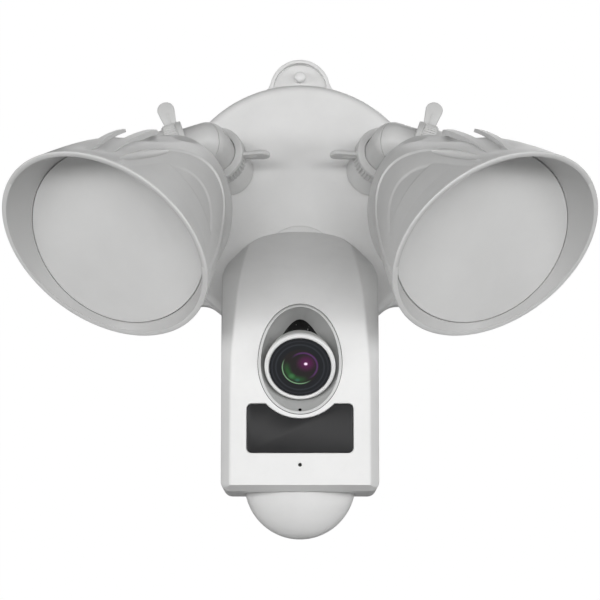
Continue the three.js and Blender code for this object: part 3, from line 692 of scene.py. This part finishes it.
ring_front = -lens_length
ring_outline = rounded(
    [(glass_radius + clear, ring_front + 2), (glass_radius + clear, ring_front + 0.35),
     (glass_radius + 1.1, ring_front), (lens_radius - 0.9, ring_front),
     (lens_radius, ring_front + 0.9), (lens_radius, ring_front + 2.7),
     (glass_radius - 2, ring_front + 2.7), (glass_radius - 2, ring_front + 2)],
    [0.05, 0.2, 0.4, 0.5, 0.5, 0.2, 0.05, 0.05])
ring = lathed("lens_ring_moulding", [tuple(p) for p in ring_outline], 128, on_lens)
ring_coat = moulded("ring_moulding", (0.88, 0.88, 0.875), 0.36, 0.1)
finished(ring, "lens", ring_coat, "white_plastic", "lens_ring")

# ---- cover glass and lens ------------------------------------------------------------------
# Flat dark cover glass, and behind it the black barrel with its front lens. The glass is set
# into the ring. Painted reflections in its colour show the lens coatings green on the lower
# left and magenta on the upper right, with two faint lighter rings and a painted pink-white
# highlight; the colour is also fed to emission, so the glass glows a little.
glass_outline = rounded(
    [(0.0, ring_front + 0.5), (glass_radius, ring_front + 0.5),
     (glass_radius, ring_front + 1.7), (0.0, ring_front + 1.7)], [0.0, 0.25, 0.15, 0.0])
glass = lathed("lens_glass", [tuple(p) for p in glass_outline], 128, on_lens)
lens_middle = lens_pivot + aim * (lens_length - 0.5)
painted_reflections = Finish("cover_glass_painted_reflections", Roughness=0.05, IOR=1.45, Specular_IOR_Level=0.2)
across = painted_reflections.node("ShaderNodeMapping", {"vector_type": "TEXTURE"}, Vector=painted_reflections.place,
                      Location=lens_middle * MM,
                      Rotation=(math.radians(lens_tilt), 0.0, 0.0))
axes = painted_reflections.tree.nodes.new("ShaderNodeSeparateXYZ")
painted_reflections.tree.links.new(across.socket, axes.inputs[0])
right_mm = Value(painted_reflections.tree, axes.outputs[0]) * 1000.0
up_mm = Value(painted_reflections.tree, axes.outputs[2]) * 1000.0


def away_from(x, z, squash=1.0):
    """Distance in millimetres from a spot on the glass."""
    dx, dz = right_mm - x, (up_mm - z) * squash
    return (dx * dx + dz * dz).maths("SQRT")


def band(distance, radius, width):
    """1 on a ring of that radius, fading to 0 over its width."""
    return 1.0 - (distance - radius).maths("ABSOLUTE").between(0.0, width)


centre_mm = away_from(0.0, 0.0)
lower_left = (right_mm * -0.66 - up_mm * 0.75).between(1.0, 6.5)
upper_right = (right_mm * 0.8 + up_mm * 0.6).between(-1.0, 5.0)
inside_lens = 1.0 - centre_mm.between(9.2, 10.0)
dark = (0.012, 0.013, 0.015, 1.0)
tone = painted_reflections.mix(centre_mm.between(9.4, 10.4), (0.016, 0.014, 0.014, 1.0), dark)
tone = painted_reflections.mix(band(centre_mm, 12.6, 0.7) * 0.5, tone, (0.035, 0.038, 0.045, 1.0))
tone = painted_reflections.mix(band(centre_mm, 14.6, 0.5) * 0.35, tone, (0.04, 0.042, 0.05, 1.0))
# Painted reflections: magenta and green patches of coating colour on the dark glass.
violet = (1.0 - away_from(3.2, 2.2, 1.1).between(1.0, 6.2)) * inside_lens
tone = painted_reflections.mix(violet * 0.7, tone, (0.085, 0.010, 0.065, 1.0))
tone = painted_reflections.mix(band(away_from(1.6, 0.6), 7.4, 0.8) * upper_right * 0.7, tone,
                   (0.09, 0.03, 0.12, 1.0))
tone = painted_reflections.mix(band(centre_mm, 6.6, 2.6) * lower_left * 0.85, tone,
                   (0.02, 0.075, 0.024, 1.0))
tone = painted_reflections.mix(band(centre_mm, 9.2, 0.45) * lower_left, tone, (0.16, 0.30, 0.17, 1.0))
tone = painted_reflections.mix((1.0 - away_from(-4.4, -5.0, 1.2).between(0.4, 2.4)) * 0.7, tone,
                   (0.04, 0.14, 0.05, 1.0))
tone = painted_reflections.mix((1.0 - away_from(-1.4, -7.2, 1.5).between(0.2, 1.9)) * 0.6, tone,
                   (0.03, 0.11, 0.085, 1.0))
# Painted highlight: a pink-white spot on the glass.
spark = 1.0 - away_from(3.0, 1.9, 1.2).between(0.15, 1.3)
tone = painted_reflections.mix(spark, tone, (1.0, 0.74, 0.95, 1.0))
painted_reflections.feed("Base Color", tone)
# The painted colour is also fed to emission, so the glass glows though it is no lamp.
painted_reflections.feed("Emission Color", tone)
painted_reflections.shader.inputs["Emission Strength"].default_value = 0.55
painted_reflections.feed("Roughness", painted_reflections.noise(900.0, 2.0) * 0.05 + 0.03)
finished(glass, "lens", painted_reflections.material, "coated_glass", "lens_cover_glass")

# ---- sensor window -------------------------------------------------------------------------
# Smoked glossy polycarbonate, snapped flush into the housing's front with a round bite for the
# bowl. Infrared lamps shine through it.
pane = plate("smoked_window", window_outline(0.0), -body_front, -body_front + window_thick - clear,
             0.3)
smoked = Finish("smoked_window", Specular_IOR_Level=0.14, IOR=1.4)
haze = smoked.noise(60.0, 3.0, 0.6)
lamps = smoked.node("ShaderNodeTexVoronoi", {"feature": "F1"}, Vector=smoked.place, Scale=210.0)
smoked.feed("Base Color", smoked.mix(haze.between(0.35, 0.65), (0.023, 0.023, 0.024, 1.0),
                                     (0.025, 0.025, 0.026, 1.0)))
smoked.feed("Roughness", haze * 0.03 + lamps * 0.01 + 0.24)
smoked.bump(smoked.noise(1800.0), 0.05, 0.00004)
finished(pane, "camera_and_canopy", smoked.material, "smoked_plastic", "sensor_window")

# ---- presence dome -------------------------------------------------------------------------
# Milky polyethylene half ball under the housing, held by its flange from inside. Fine lens
# facets are moulded on its inner face, so its outside is smooth.
dome_ball = ellipsoid("presence_dome_skin", 0.0)
lid_height = body_bottom + shell_wall + clear
above = block("above", -60, 60, -110, -30, lid_height + 1.0, -100)
combine(dome_ball, [above, ellipsoid("hollow", -dome_wall)], "DIFFERENCE")
milky = Finish("milky_dome", Roughness=0.34, Subsurface_Weight=0.35,
               Subsurface_Radius=(0.006, 0.006, 0.006), Coat_Weight=0.1, Coat_Roughness=0.3)
cloud = milky.noise(45.0, 4.0, 0.55)
milky.feed("Base Color", milky.mix(cloud.between(0.3, 0.7), shade((0.79, 0.79, 0.785), 0.975),
                                   shade((0.79, 0.79, 0.785), 1.02)))
milky.feed("Roughness", cloud * 0.08 + 0.3)
milky.bump(milky.noise(1500.0), 0.06, 0.00005)
finished(dome_ball, "camera_and_canopy", milky.material, "pearl_plastic", "presence_dome")

# ---- ring nuts -----------------------------------------------------------------------------
# Each lamp arm is locked by two moulded ring nuts with a thumb wing: one on the canopy socket,
# one behind the lamp. A smooth lip grips the arm and the skirt behind it is finely knurled.
nut_radius, nut_length, nut_lip = 15.5, 11.0, 2.6
wing_length, wing_width, wing_thick = 14.0, 9.4, 2.4
arm_length, side_arm, side_drop = 21.0, 16.0, 17.5
arm_color = (0.66, 0.66, 0.655)
arm_coat = moulded("grey_moulding", arm_color, 0.44, 0.2, Coat_Weight=0.08, Coat_Roughness=0.35)


def on_side_arm(side):
    """Places what is built along -Y on the elbow's side barrel, centred on the second nut."""
    foot = on_arm(side)
    elbow = foot @ Vector((0, -arm_length, 0))
    drop = math.radians(side_drop)
    away = Vector((side * math.cos(drop), 0, -math.sin(drop)))
    place = Matrix.Translation(elbow + away * side_arm)
    return (place @ Matrix.Rotation(math.radians(side * 90), 4, "Z")
            @ Matrix.Rotation(drop, 4, "X"))


def knurl_tree():
    """Sets small ridges in a ring round Y; sizes are inputs in metres."""
    tree = bpy.data.node_groups.new("knurl", "GeometryNodeTree")
    face = tree.interface
    face.new_socket("Geometry", in_out="OUTPUT", socket_type="NodeSocketGeometry")
    face.new_socket("Geometry", in_out="INPUT", socket_type="NodeSocketGeometry")
    for name, kind in (("Ridges", "NodeSocketInt"), ("Radius", "NodeSocketFloat"),
                       ("Length", "NodeSocketFloat"), ("Ridge", "NodeSocketFloat"),
                       ("Middle", "NodeSocketFloat"), ("Coat", "NodeSocketMaterial")):
        face.new_socket(name, in_out="INPUT", socket_type=kind)
    add, link = tree.nodes.new, tree.links.new
    given, done = add("NodeGroupInput"), add("NodeGroupOutput")
    ring = add("GeometryNodeMeshCircle")
    link(given.outputs["Ridges"], ring.inputs["Vertices"])
    link(given.outputs["Radius"], ring.inputs["Radius"])
    bar = add("GeometryNodeMeshCylinder")
    bar.inputs["Vertices"].default_value = 8
    link(given.outputs["Ridge"], bar.inputs["Radius"])
    link(given.outputs["Length"], bar.inputs["Depth"])
    points = add("GeometryNodeInstanceOnPoints")
    link(ring.outputs["Mesh"], points.inputs["Points"])
    link(bar.outputs["Mesh"], points.inputs["Instance"])
    lay = add("GeometryNodeTransform")
    lay.inputs["Rotation"].default_value = (math.pi / 2, 0.0, 0.0)
    shift = add("ShaderNodeCombineXYZ")
    link(given.outputs["Middle"], shift.inputs["Y"])
    link(shift.outputs[0], lay.inputs["Translation"])
    link(points.outputs["Instances"], lay.inputs["Geometry"])
    real = add("GeometryNodeRealizeInstances")
    link(lay.outputs["Geometry"], real.inputs["Geometry"])
    coat = add("GeometryNodeSetMaterial")
    link(real.outputs["Geometry"], coat.inputs["Geometry"])
    link(given.outputs["Coat"], coat.inputs["Material"])
    link(coat.outputs["Geometry"], done.inputs["Geometry"])
    return tree


knurls = knurl_tree()


def repeated(tree, settings):
    """The plain mesh that a tree makes with these inputs."""
    holder = bpy.data.objects.new("repeat", bpy.data.meshes.new("repeat"))
    bpy.context.scene.collection.objects.link(holder)
    step = holder.modifiers.new("tree", "NODES")
    step.node_group = tree
    for item in tree.interface.items_tree:
        if item.in_out == "INPUT" and item.name in settings:
            step[item.identifier] = settings[item.name]
    made = bpy.data.meshes.new_from_object(
        holder.evaluated_get(bpy.context.evaluated_depsgraph_get())
    )
    bpy.data.objects.remove(holder)
    return made


def join(main, *others):
    """Adds other objects' or meshes' faces to main, and uses them up."""
    work = bmesh.new()
    work.from_mesh(main.data)
    for other in others:
        mesh = other.data if isinstance(other, bpy.types.Object) else other
        work.from_mesh(mesh)
        if isinstance(other, bpy.types.Object):
            bpy.data.objects.remove(other)
    work.to_mesh(main.data)
    work.free()
    return main


def ring_nut(name, wing_angle, place):
    """A ring nut along -Y with its wing at an angle about Y."""
    front, back = -nut_length / 2, nut_length / 2
    skirt = nut_radius - 0.9
    outline = rounded(
        [(barrel_radius + clear, front), (nut_radius - 0.1, front), (nut_radius, front + 2.9),
         (skirt, front + 3.3), (skirt, back), (nut_thread + clear, back),
         (nut_thread + clear, front + nut_lip), (barrel_radius + clear, front + nut_lip)],
        [0.4, 0.8, 0.3, 0.1, 0.4, 0.1, 0.1, 0.1], 3)
    nut = lathed(name, [tuple(p) for p in outline], 120)
    ridges = repeated(knurls, {
        "Ridges": 44, "Radius": (skirt + 0.05) * MM, "Length": (nut_length - 4.6) * MM,
        "Ridge": 0.62 * MM, "Middle": 1.5 * MM, "Coat": arm_coat})
    tip = nut_radius + wing_length
    half = wing_width / 2
    outline = [(-half + 1.6, nut_radius - 1.2), (half - 1.6, nut_radius - 1.2),
               *arc(0, tip - half, half, 0, 180, 28)]
    wing = plate("wing", outline, -wing_thick / 2, wing_thick / 2, 0.8, None, 0.8)
    wing.data.transform(turn_y(wing_angle) @ Matrix.Rotation(math.radians(90), 4, "Z"))
    rib = lathed("rib", rod_outline(1.5, -wing_length / 2, 2.0, 0.6), 24)
    rib.data.transform(turn_y(wing_angle) @ Matrix.Translation(Vector((0, 0, nut_radius)) * MM)
                       @ Matrix.Rotation(math.radians(-90), 4, "X"))
    join(nut, ridges, wing, rib)
    nut.data.transform(Matrix.Translation(place.translation * MM) @ place.to_3x3().to_4x4())
    return nut


def mirrored(piece, name):
    """A right-hand copy of a left-hand piece."""
    copy = bpy.data.objects.new(name, piece.data.copy())
    bpy.context.scene.collection.objects.link(copy)
    copy.data.transform(Matrix.Diagonal((-1.0, 1.0, 1.0, 1.0)))
    copy.data.flip_normals()
    return copy


def both_sides(piece, body, coat, slot, node, sharp=32.0):
    """Finishes a left-hand piece and its mirrored copy; the names start with the side."""
    kind = piece.name
    copy = mirrored(piece, f"right_{kind}")
    piece.name = f"left_{kind}"
    for side, made in (("left", piece), ("right", copy)):
        finished(made, f"{side}_{body}" if body else "camera_and_canopy", coat, slot,
                 f"{side}_{node}", sharp=sharp)


left_arm, left_side = on_arm(-1), on_side_arm(-1)
base_nut = ring_nut("ring_nut_base", 90, left_arm)
both_sides(base_nut, "base_nut", arm_coat, "light_grey_plastic", "base_nut")
half_turn = Matrix.Rotation(math.radians(180), 4, "Z")
head_nut = ring_nut("ring_nut_head", 10, left_side @ half_turn)
both_sides(head_nut, "head_nut", arm_coat, "light_grey_plastic", "head_nut")

# ---- seals ---------------------------------------------------------------------------------
# Soft black rubber rings that each nut squeezes between its lip and the end of its socket.
rubber_coat = moulded("black_rubber", (0.03, 0.03, 0.03), 0.62, 0.3)
seal_outline = rounded([(barrel_radius + clear, -nut_length / 2 + nut_lip + clear),
                        (nut_thread, -nut_length / 2 + nut_lip + clear),
                        (nut_thread, -clear - 0.1), (barrel_radius + clear, -clear - 0.1)], 0.4)
seal_outline = [tuple(p) for p in seal_outline]
both_sides(lathed("arm_seal", seal_outline, 72, left_arm), "", rubber_coat, "black_rubber",
           "base_seal")
both_sides(lathed("lamp_seal", seal_outline, 72, left_side @ half_turn), "arm", rubber_coat,
           "black_rubber", "head_seal")

# ---- elbows --------------------------------------------------------------------------------
# Hollow moulded elbow in two halves that meet on a slanting seam. One end turns in the
# canopy's socket and the other carries the lamp.
elbow_middle = left_arm @ Vector((0, -arm_length, 0))
barrel_bore = 7.0
elbow = lathed("elbow", rod_outline(barrel_radius, -arm_length, 11), 96, left_arm)
half = [math.pi * k / 36 for k in range(37)]
knee = lathed("knee", [(barrel_radius * math.sin(a), -barrel_radius * math.cos(a)) for a in half],
              72, Matrix.Translation(elbow_middle) @ left_side.to_3x3().to_4x4())
side_bar = lathed("bar", rod_outline(barrel_radius, -6, side_arm), 96, left_side)
combine(elbow, [knee, side_bar], "UNION")
arm_way = (left_arm.to_3x3() @ Vector((0, 1, 0))).normalized()
side_way = (left_side.to_3x3() @ Vector((0, -1, 0))).normalized()
seam_turn = (arm_way - side_way).normalized().to_track_quat("Y", "Z").to_matrix().to_4x4()
seam_place = Matrix.Translation(elbow_middle) @ seam_turn
seam = lathed("seam", [(barrel_radius - 0.45, -0.22), (30, -0.22), (30, 0.22),
                       (barrel_radius - 0.45, 0.22)], 96, seam_place)
cuts = [lathed("bore", rod_outline(barrel_bore, -arm_length, 30), 64, left_arm),
        lathed("bore", rod_outline(barrel_bore, -30, side_arm), 64, left_side)]
combine(elbow, [*cuts, seam], "DIFFERENCE")
both_sides(elbow, "arm", arm_coat, "light_grey_plastic", "arm_elbow", 30)

# ---- lamp housings -------------------------------------------------------------------------
# Deep moulded hood, wide at the front and narrower behind. Overlapping shells step down round
# its inner side to a smooth scoop, and two curved cooling plates stand off its back.
lamp_place = Vector((-93.4, -128.0, -33.0))
lamp_yaw, lamp_pitch = 24.8, 32.4
on_lamp = (Matrix.Translation(lamp_place) @ Matrix.Rotation(math.radians(-lamp_yaw), 4, "Z")
           @ Matrix.Rotation(math.radians(lamp_pitch), 4, "X"))
rim_radius, rim_wall = 58.4, 3.0
rim_place, rim_tip, rim_turn = Vector((-0.6, -15.5, 1.6)), 12.8, -7.1
back_radius, back_place, back_tip, back_turn = 41.0, Vector((4.5, 50.0, -7.3)), -23.6, -15.9
diffuser_radius, diffuser_thick = 48.6, 2.4
around = 540


def loop(middle, radius, tip=0.0, turn=0.0):
    """Points of a circle that faces -Y, tipped down and turned out."""
    spin = (Matrix.Rotation(math.radians(turn), 3, "Z")
            @ Matrix.Rotation(math.radians(tip), 3, "X"))
    return np.array([
        Vector(middle) + spin @ Vector((radius * math.cos(a), 0.0, radius * math.sin(a)))
        for a in (2 * math.pi * i / around for i in range(around))
    ])


def step_between(low, high, x):
    t = np.clip((x - low) / (high - low), 0.0, 1.0)
    return t * t * (3 - 2 * t)


rim = loop(rim_place, rim_radius, rim_tip, rim_turn)
waist = loop((1.5, 8.0, 0.0), 51.8, 0.0, -4.0)
ring = loop(back_place, back_radius, back_tip, back_turn)
waist_at = 0.36
angle = np.degrees(2 * np.pi * np.arange(around) / around)
angle = np.where(angle > 180, angle - 360, angle)


def hood_ring(t):
    """One ring of the hood's outside, from its rim at 0 to its back ring at 1."""
    w0 = (t - waist_at) * (t - 1) / waist_at
    w1 = t * (t - 1) / (waist_at * (waist_at - 1))
    w2 = t * (t - waist_at) / (1 - waist_at)
    base = rim * w0 + waist * w1 + ring * w2
    middle = base.mean(0)
    outward = base - middle
    outward /= np.linalg.norm(outward, axis=1)[:, None]
    scoop = np.hypot((t - 0.05) / 0.56, (angle - 20) / 31.0)
    shelf = np.hypot((t - 0.05) / 0.90, (angle - 20) / 39.5)
    over = np.maximum(scoop - 1, 0.0)
    across = over / (over + np.maximum(1 - shelf, 0.0) + 1e-6)
    depth = (3.3 - 2.3 * across) * (1 - step_between(0.99, 1.012, shelf))
    depth = depth + 0.6 * (1 - step_between(0.96, 1.02, scoop))
    depth = depth * step_between(0.02, 0.07, t)
    above = np.exp(-((angle - 78) / 15) ** 2) * step_between(0.03, 0.2, t)
    crest = np.exp(-((t - 0.68) / 0.17) ** 2) * np.exp(-((angle - 88) / 24) ** 2)
    room = max(min(1.6 + 8 * t, 3.1), 3.1 + 30 * (t - 0.38))
    depth = np.minimum(depth + 2.6 * above + 2.2 * crest, room)
    return base - outward * depth[:, None]


def hood_spot(t, degrees):
    return Vector(hood_ring(t)[int(degrees / 360 * around)])


def end_ring(pull):
    """Rings that round the hood off behind its back ring."""
    back_turned = (Matrix.Rotation(math.radians(back_turn), 3, "Z")
                   @ Matrix.Rotation(math.radians(back_tip), 3, "X"))
    out, radius = 14 * math.sin(pull), 26 + 15 * math.cos(pull)
    place = back_place + back_turned @ Vector((0, out, 0))
    return loop(place, radius, back_tip, back_turn)


spin = (Matrix.Rotation(math.radians(rim_turn), 3, "Z")
        @ Matrix.Rotation(math.radians(rim_tip), 3, "X"))
lip_rings = []
for inset, soft, ways in ((0.0, 0.7, (0, 22, 45, 67, 90)), (rim_wall, 0.5, (90, 60, 30))):
    for degrees in ways:
        a = math.radians(degrees)
        shrink = soft * (1 - math.cos(a)) if inset == 0.0 else inset - soft * (1 - math.cos(a))
        spot = rim_place + spin @ Vector((0, soft * (1 - math.sin(a)), 0))
        lip_rings.append(loop(spot, rim_radius - shrink, rim_tip, rim_turn))
well = diffuser_radius + clear
mouth = loop(rim_place + spin @ Vector((0, 0.6, 0)), rim_radius - rim_wall, rim_tip,
             rim_turn)
seat = loop((0, 0, 0), well + 0.4)
rings = [end_ring(math.pi / 2 * k / 6) for k in range(6, 0, -1)]
rings += [hood_ring(t) for t in np.linspace(1.0, 0.022, 120)]
rings += lip_rings
rings += [mouth + (seat - mouth) * k / 10 for k in range(11)]
rings += [loop((0, 0.05, 0), well), loop((0, 4 + diffuser_thick, 0), well),
          loop((0, 4 + diffuser_thick + 0.05, 0), diffuser_radius - 3)]
rings += [loop(back_place + Vector((0, -14, 0)), back_radius - 8, back_tip, back_turn)]
housing = lofted("lamp_hood", [[tuple(p) for p in r] for r in rings], on_lamp)
nut_room = lathed("room", rod_outline(nut_radius + 1.5, -nut_length / 2 - 1, 40), 72, left_side)
lamp_boss = lathed("boss", rod_outline(nut_thread, -34, 0), 72, left_side)
boss_bore = lathed("bore", rod_outline(barrel_radius + clear, -12, 30), 72, left_side)
start, middle, end = hood_spot(0.07, 61.0), hood_spot(0.28, 57.5), hood_spot(0.5, 53.5)
along = (end - start) / 2
out_there = Vector((middle.x, 0, middle.z)).normalized()
aside = along.cross(out_there).normalized()
notch = lathed("notch", [(math.sin(a), math.cos(a)) for a in half], 48)
stretch = Matrix((aside * 2.9, along, aside.cross(along.normalized()) * 1.7)).transposed()
notch.data.transform(Matrix.Translation(lamp_place * MM) @ on_lamp.to_3x3().to_4x4()
                     @ Matrix.Translation((start + end) * 0.2 * MM + middle * 0.6 * MM)
                     @ stretch.to_4x4())
tidy_mesh(notch)
combine(housing, [nut_room, notch], "DIFFERENCE")
combine(lamp_boss, [boss_bore], "DIFFERENCE")
ahead = spin @ Vector((0, -12, 0))
inner_space = [mouth + np.array(ahead), mouth, seat, loop((0, 4 + diffuser_thick, 0), well),
               loop(back_place + Vector((0, -14, 0)), back_radius - 8, back_tip, back_turn)]
fin_wide = 3.6
fins = []
for root, root_radius, tip, tip_radius, fin_thick, fin_bulge in (
        ((12.4, -27.0), rim_radius - 1.0, (-2.0, 41.2), rim_radius - 14.1, 2.2, 1.2),
        ((22.0, -28.0), rim_radius - 1.2, (8.0, 56.0), rim_radius - 20.6, 2.8, 2.0)):
    run = [k / 12 for k in range(13)]
    line = [(root_radius + (tip_radius - root_radius) * k + fin_bulge * math.sin(math.pi * k),
             root[1] + (tip[1] - root[1]) * k) for k in run]
    under = [(r - fin_thick, y) for r, y in reversed(line)]
    outline = line[:-1] + [(line[-1][0] - 0.4, line[-1][1] - 0.3), (line[-1][0] - 1.0, tip[1])]
    outline += [(under[0][0] + 0.6, tip[1]), (under[0][0] + 0.1, tip[1] - 0.5)] + under[1:]
    fin = lathed("fin", outline, 240, on_lamp)
    strip = rounded([(root[0] - fin_wide, root[1] - 4), (root[0], root[1] - 4), root, tip,
                     (tip[0] - fin_wide, tip[1])], [0, 0, 0, 2.2, 2.2])
    keep = lofted("keep", [[(p.x, p.y, z) for p in strip] for z in (12, 80)], on_lamp)
    combine(fin, [keep], "INTERSECT")
    beyond = block("beyond", -90, 90, -70, 0.8, -90, 90)
    beyond.data.transform(Matrix.Translation(lamp_place * MM) @ on_lamp.to_3x3().to_4x4()
                          @ Matrix.Translation(rim_place * MM) @ spin.to_4x4())
    inward = lofted("inward", [[tuple(p) for p in r] for r in inner_space], on_lamp)
    combine(fin, [beyond, inward], "DIFFERENCE")
    fins.append(fin)
join(housing, lamp_boss, *fins)
# Painted shade: vertices on the hood's inner wall are marked, and the hood's material darkens its
# base colour there to 0.78 of the outside, standing in for the shade inside the deep hood.
out_of_lamp = on_lamp.inverted()
painted_shade_weights = []
for vertex in housing.data.vertices:
    spot = out_of_lamp @ (vertex.co / MM)
    facing = out_of_lamp.to_3x3() @ vertex.normal
    inwards = -(facing.x * spot.x + facing.z * spot.z) / max(1.0, math.hypot(spot.x, spot.z))
    hood_wall = math.hypot(spot.x, spot.z) > well - 1.0 and spot.y < 0.5
    painted_shade_weights.append(float(inwards > 0.2 and hood_wall))
painted_shade_attribute = housing.data.attributes.new("painted_shade_inside_hood", "FLOAT", "POINT")
painted_shade_attribute.data.foreach_set("value", painted_shade_weights)
hood_coat = moulded("hood_moulding", (0.69, 0.69, 0.685), 0.44, 0.2, Coat_Weight=0.08,
                    Coat_Roughness=0.35, painted_shade_attribute="painted_shade_inside_hood", painted_shade_factor=0.78)
both_sides(housing, "lamp", hood_coat, "light_grey_plastic", "lamp_housing", 34)

# ---- diffusers -----------------------------------------------------------------------------
# Frosted polycarbonate disc, slightly domed, set in the hood against a black rubber seal. Very
# fine prisms moulded in its back face scatter the light.
dome_line = [(diffuser_radius * k / 16, -1.6 * (1 - (k / 16) ** 2)) for k in range(16)]
edge_line = [(diffuser_radius - 0.35, 0.02), (diffuser_radius, 0.45),
             (diffuser_radius, diffuser_thick), (0.0, diffuser_thick)]
disc = lathed("frosted_disc", dome_line + edge_line, 160, on_lamp)
frost = Finish("frosted_disc", Roughness=0.5, Subsurface_Weight=0.4,
               Subsurface_Radius=(0.005, 0.005, 0.005), Coat_Weight=0.12, Coat_Roughness=0.35)
prisms = frost.node("ShaderNodeTexVoronoi", {"feature": "SMOOTH_F1"}, Vector=frost.place,
                    Scale=620.0)
cloud = frost.noise(26.0, 4.0, 0.55)
frost.feed("Base Color", frost.mix(cloud.between(0.3, 0.7), shade((0.70, 0.70, 0.695), 0.975),
                                   shade((0.70, 0.70, 0.695), 1.02)))
frost.feed("Roughness", cloud * 0.1 + 0.46)
frost.bump(prisms, 0.05, 0.00008)
both_sides(disc, "lamp", frost.material, "frosted_plastic", "diffuser")

# ---- canopy gasket and inner seals ---------------------------------------------------------
# Flat rings of soft black rubber: one behind the canopy, one behind each diffuser, and the
# boot round the microphone.


def coated(coat, *nodes):
    """Gives pieces that keep their own shape a finish."""
    for node in nodes:
        bpy.data.objects[node].material_slots[0].material = coat


coated(rubber_coat, "canopy_gasket", "left_diffuser_seal", "right_diffuser_seal", "microphone")

# ---- wall bracket, bolt, nuts and stud -----------------------------------------------------
# Pressed and turned steel, bright zinc plated: faint grain along the rolling direction and a
# cloudy passivated bloom.
zinc = Finish("bright_zinc", Metallic=1.0, Coat_Weight=0.05)
grain = zinc.node("ShaderNodeMapping", Vector=zinc.place, Scale=(30.0, 900.0, 900.0))
streak = zinc.node("ShaderNodeTexNoise", Vector=grain, Scale=1.0, Detail=3.0)
bloom = zinc.noise(70.0, 4.0, 0.6)
zinc.feed("Base Color", zinc.mix(bloom.between(0.35, 0.7), (0.60, 0.61, 0.62, 1.0),
                                 (0.68, 0.68, 0.66, 1.0)))
zinc.feed("Roughness", streak * 0.16 + bloom * 0.12 + 0.18)
zinc.bump(streak, 0.15, 0.00004)
coated(zinc.material, "wall_bracket", "camera_hollow_bolt", "camera_lock_nut", "lens_stud",
       "lens_clamp_nut")

# ---- lamp driver, lens seat, barrel and siren ----------------------------------------------
# Black mouldings: the potted lamp driver in the canopy, the cup the lens ball turns in, the
# lens barrel, and the siren's horn.
black_coat = moulded("black_moulding", (0.025, 0.025, 0.027), 0.4, 0.3)
coated(black_coat, "led_driver", "lens_seat", "lens_barrel", "siren_speaker")

# ---- terminal block ------------------------------------------------------------------------
# White moulded block with three wells over the clamping screws, where the mains leads join.
coated(white_coat, "terminal_block")

# ---- housing rear cover --------------------------------------------------------------------
# Flat moulded back of the camera housing. It takes the hollow bolt from the canopy's boss and
# closes the shell, its edge following the housing's outline.
rear = body_solid("housing_rear", 0.0, 1.1)
ahead_of_split = block("cut", -60, 60, -130, rear_split, -200, 0)
stem_cut = lathed("stem", rod_outline(stem_hole, -60, 10), 48, boss_place)
combine(rear, [ahead_of_split, stem_cut], "DIFFERENCE")
finished(rear, "camera_and_canopy", arm_coat, "light_grey_plastic", "body_rear_cover", sharp=24)

# ---- front lens ----------------------------------------------------------------------------
# Ground glass lens in the barrel, with a dark violet antireflection coating.
lens_coat = Finish("lens_element_coating", Coat_Weight=1.0, Coat_Roughness=0.02, IOR=1.6)
sheen = lens_coat.noise(240.0, 2.0)
lens_coat.feed("Base Color", lens_coat.mix(sheen.between(0.3, 0.7), (0.012, 0.006, 0.02, 1.0),
                                           (0.03, 0.008, 0.035, 1.0)))
lens_coat.feed("Roughness", sheen * 0.03 + 0.02)
coated(lens_coat.material, "lens_element")

# ---- circuit boards ------------------------------------------------------------------------
# Glass-fibre boards under solder mask: copper tracks show as a lighter tone, with tinned pads
# on a grid. Boards near the lens have a black mask and the lamps' boards a white one.


def board_coat(name, mask, track):
    made = Finish(name, Coat_Weight=0.3, Coat_Roughness=0.15)
    cells = made.node("ShaderNodeTexVoronoi", {"distance": "MANHATTAN"}, Vector=made.place,
                      Scale=420.0)
    routes = made.node("ShaderNodeTexVoronoi", {"feature": "DISTANCE_TO_EDGE"},
                       Vector=made.place, Scale=260.0)
    copper = 1.0 - routes.between(0.03, 0.07)
    pads = 1.0 - cells.between(0.10, 0.16)
    tone = made.mix(copper * 0.7, mask, track)
    made.feed("Base Color", made.mix(pads, tone, (0.62, 0.62, 0.60, 1.0)))
    made.feed("Metallic", pads)
    made.feed("Roughness", 0.42 - pads * 0.15 + made.noise(900.0) * 0.1)
    made.bump(copper, 0.3, 0.00003)
    return made.material


green_board = board_coat("green_board", (0.012, 0.085, 0.04, 1.0), (0.03, 0.16, 0.075, 1.0))
white_board = board_coat("white_board", (0.78, 0.78, 0.75, 1.0), (0.70, 0.70, 0.66, 1.0))
black_board = board_coat("black_board", (0.010, 0.011, 0.011, 1.0), (0.016, 0.018, 0.018, 1.0))
coated(green_board, "image_sensor_board", "presence_sensor")
coated(black_board, "infrared_board", "main_board")
coated(white_board, "left_led_board", "right_led_board")

# ---- reflectors ----------------------------------------------------------------------------
# Glossy white moulded cone behind each diffuser, round the lamp's light-emitting diodes.
reflector_coat = moulded("reflector_moulding", (0.86, 0.86, 0.85), 0.24, 0.08, Coat_Weight=0.4,
                         Coat_Roughness=0.1)
coated(reflector_coat, "left_reflector", "right_reflector")
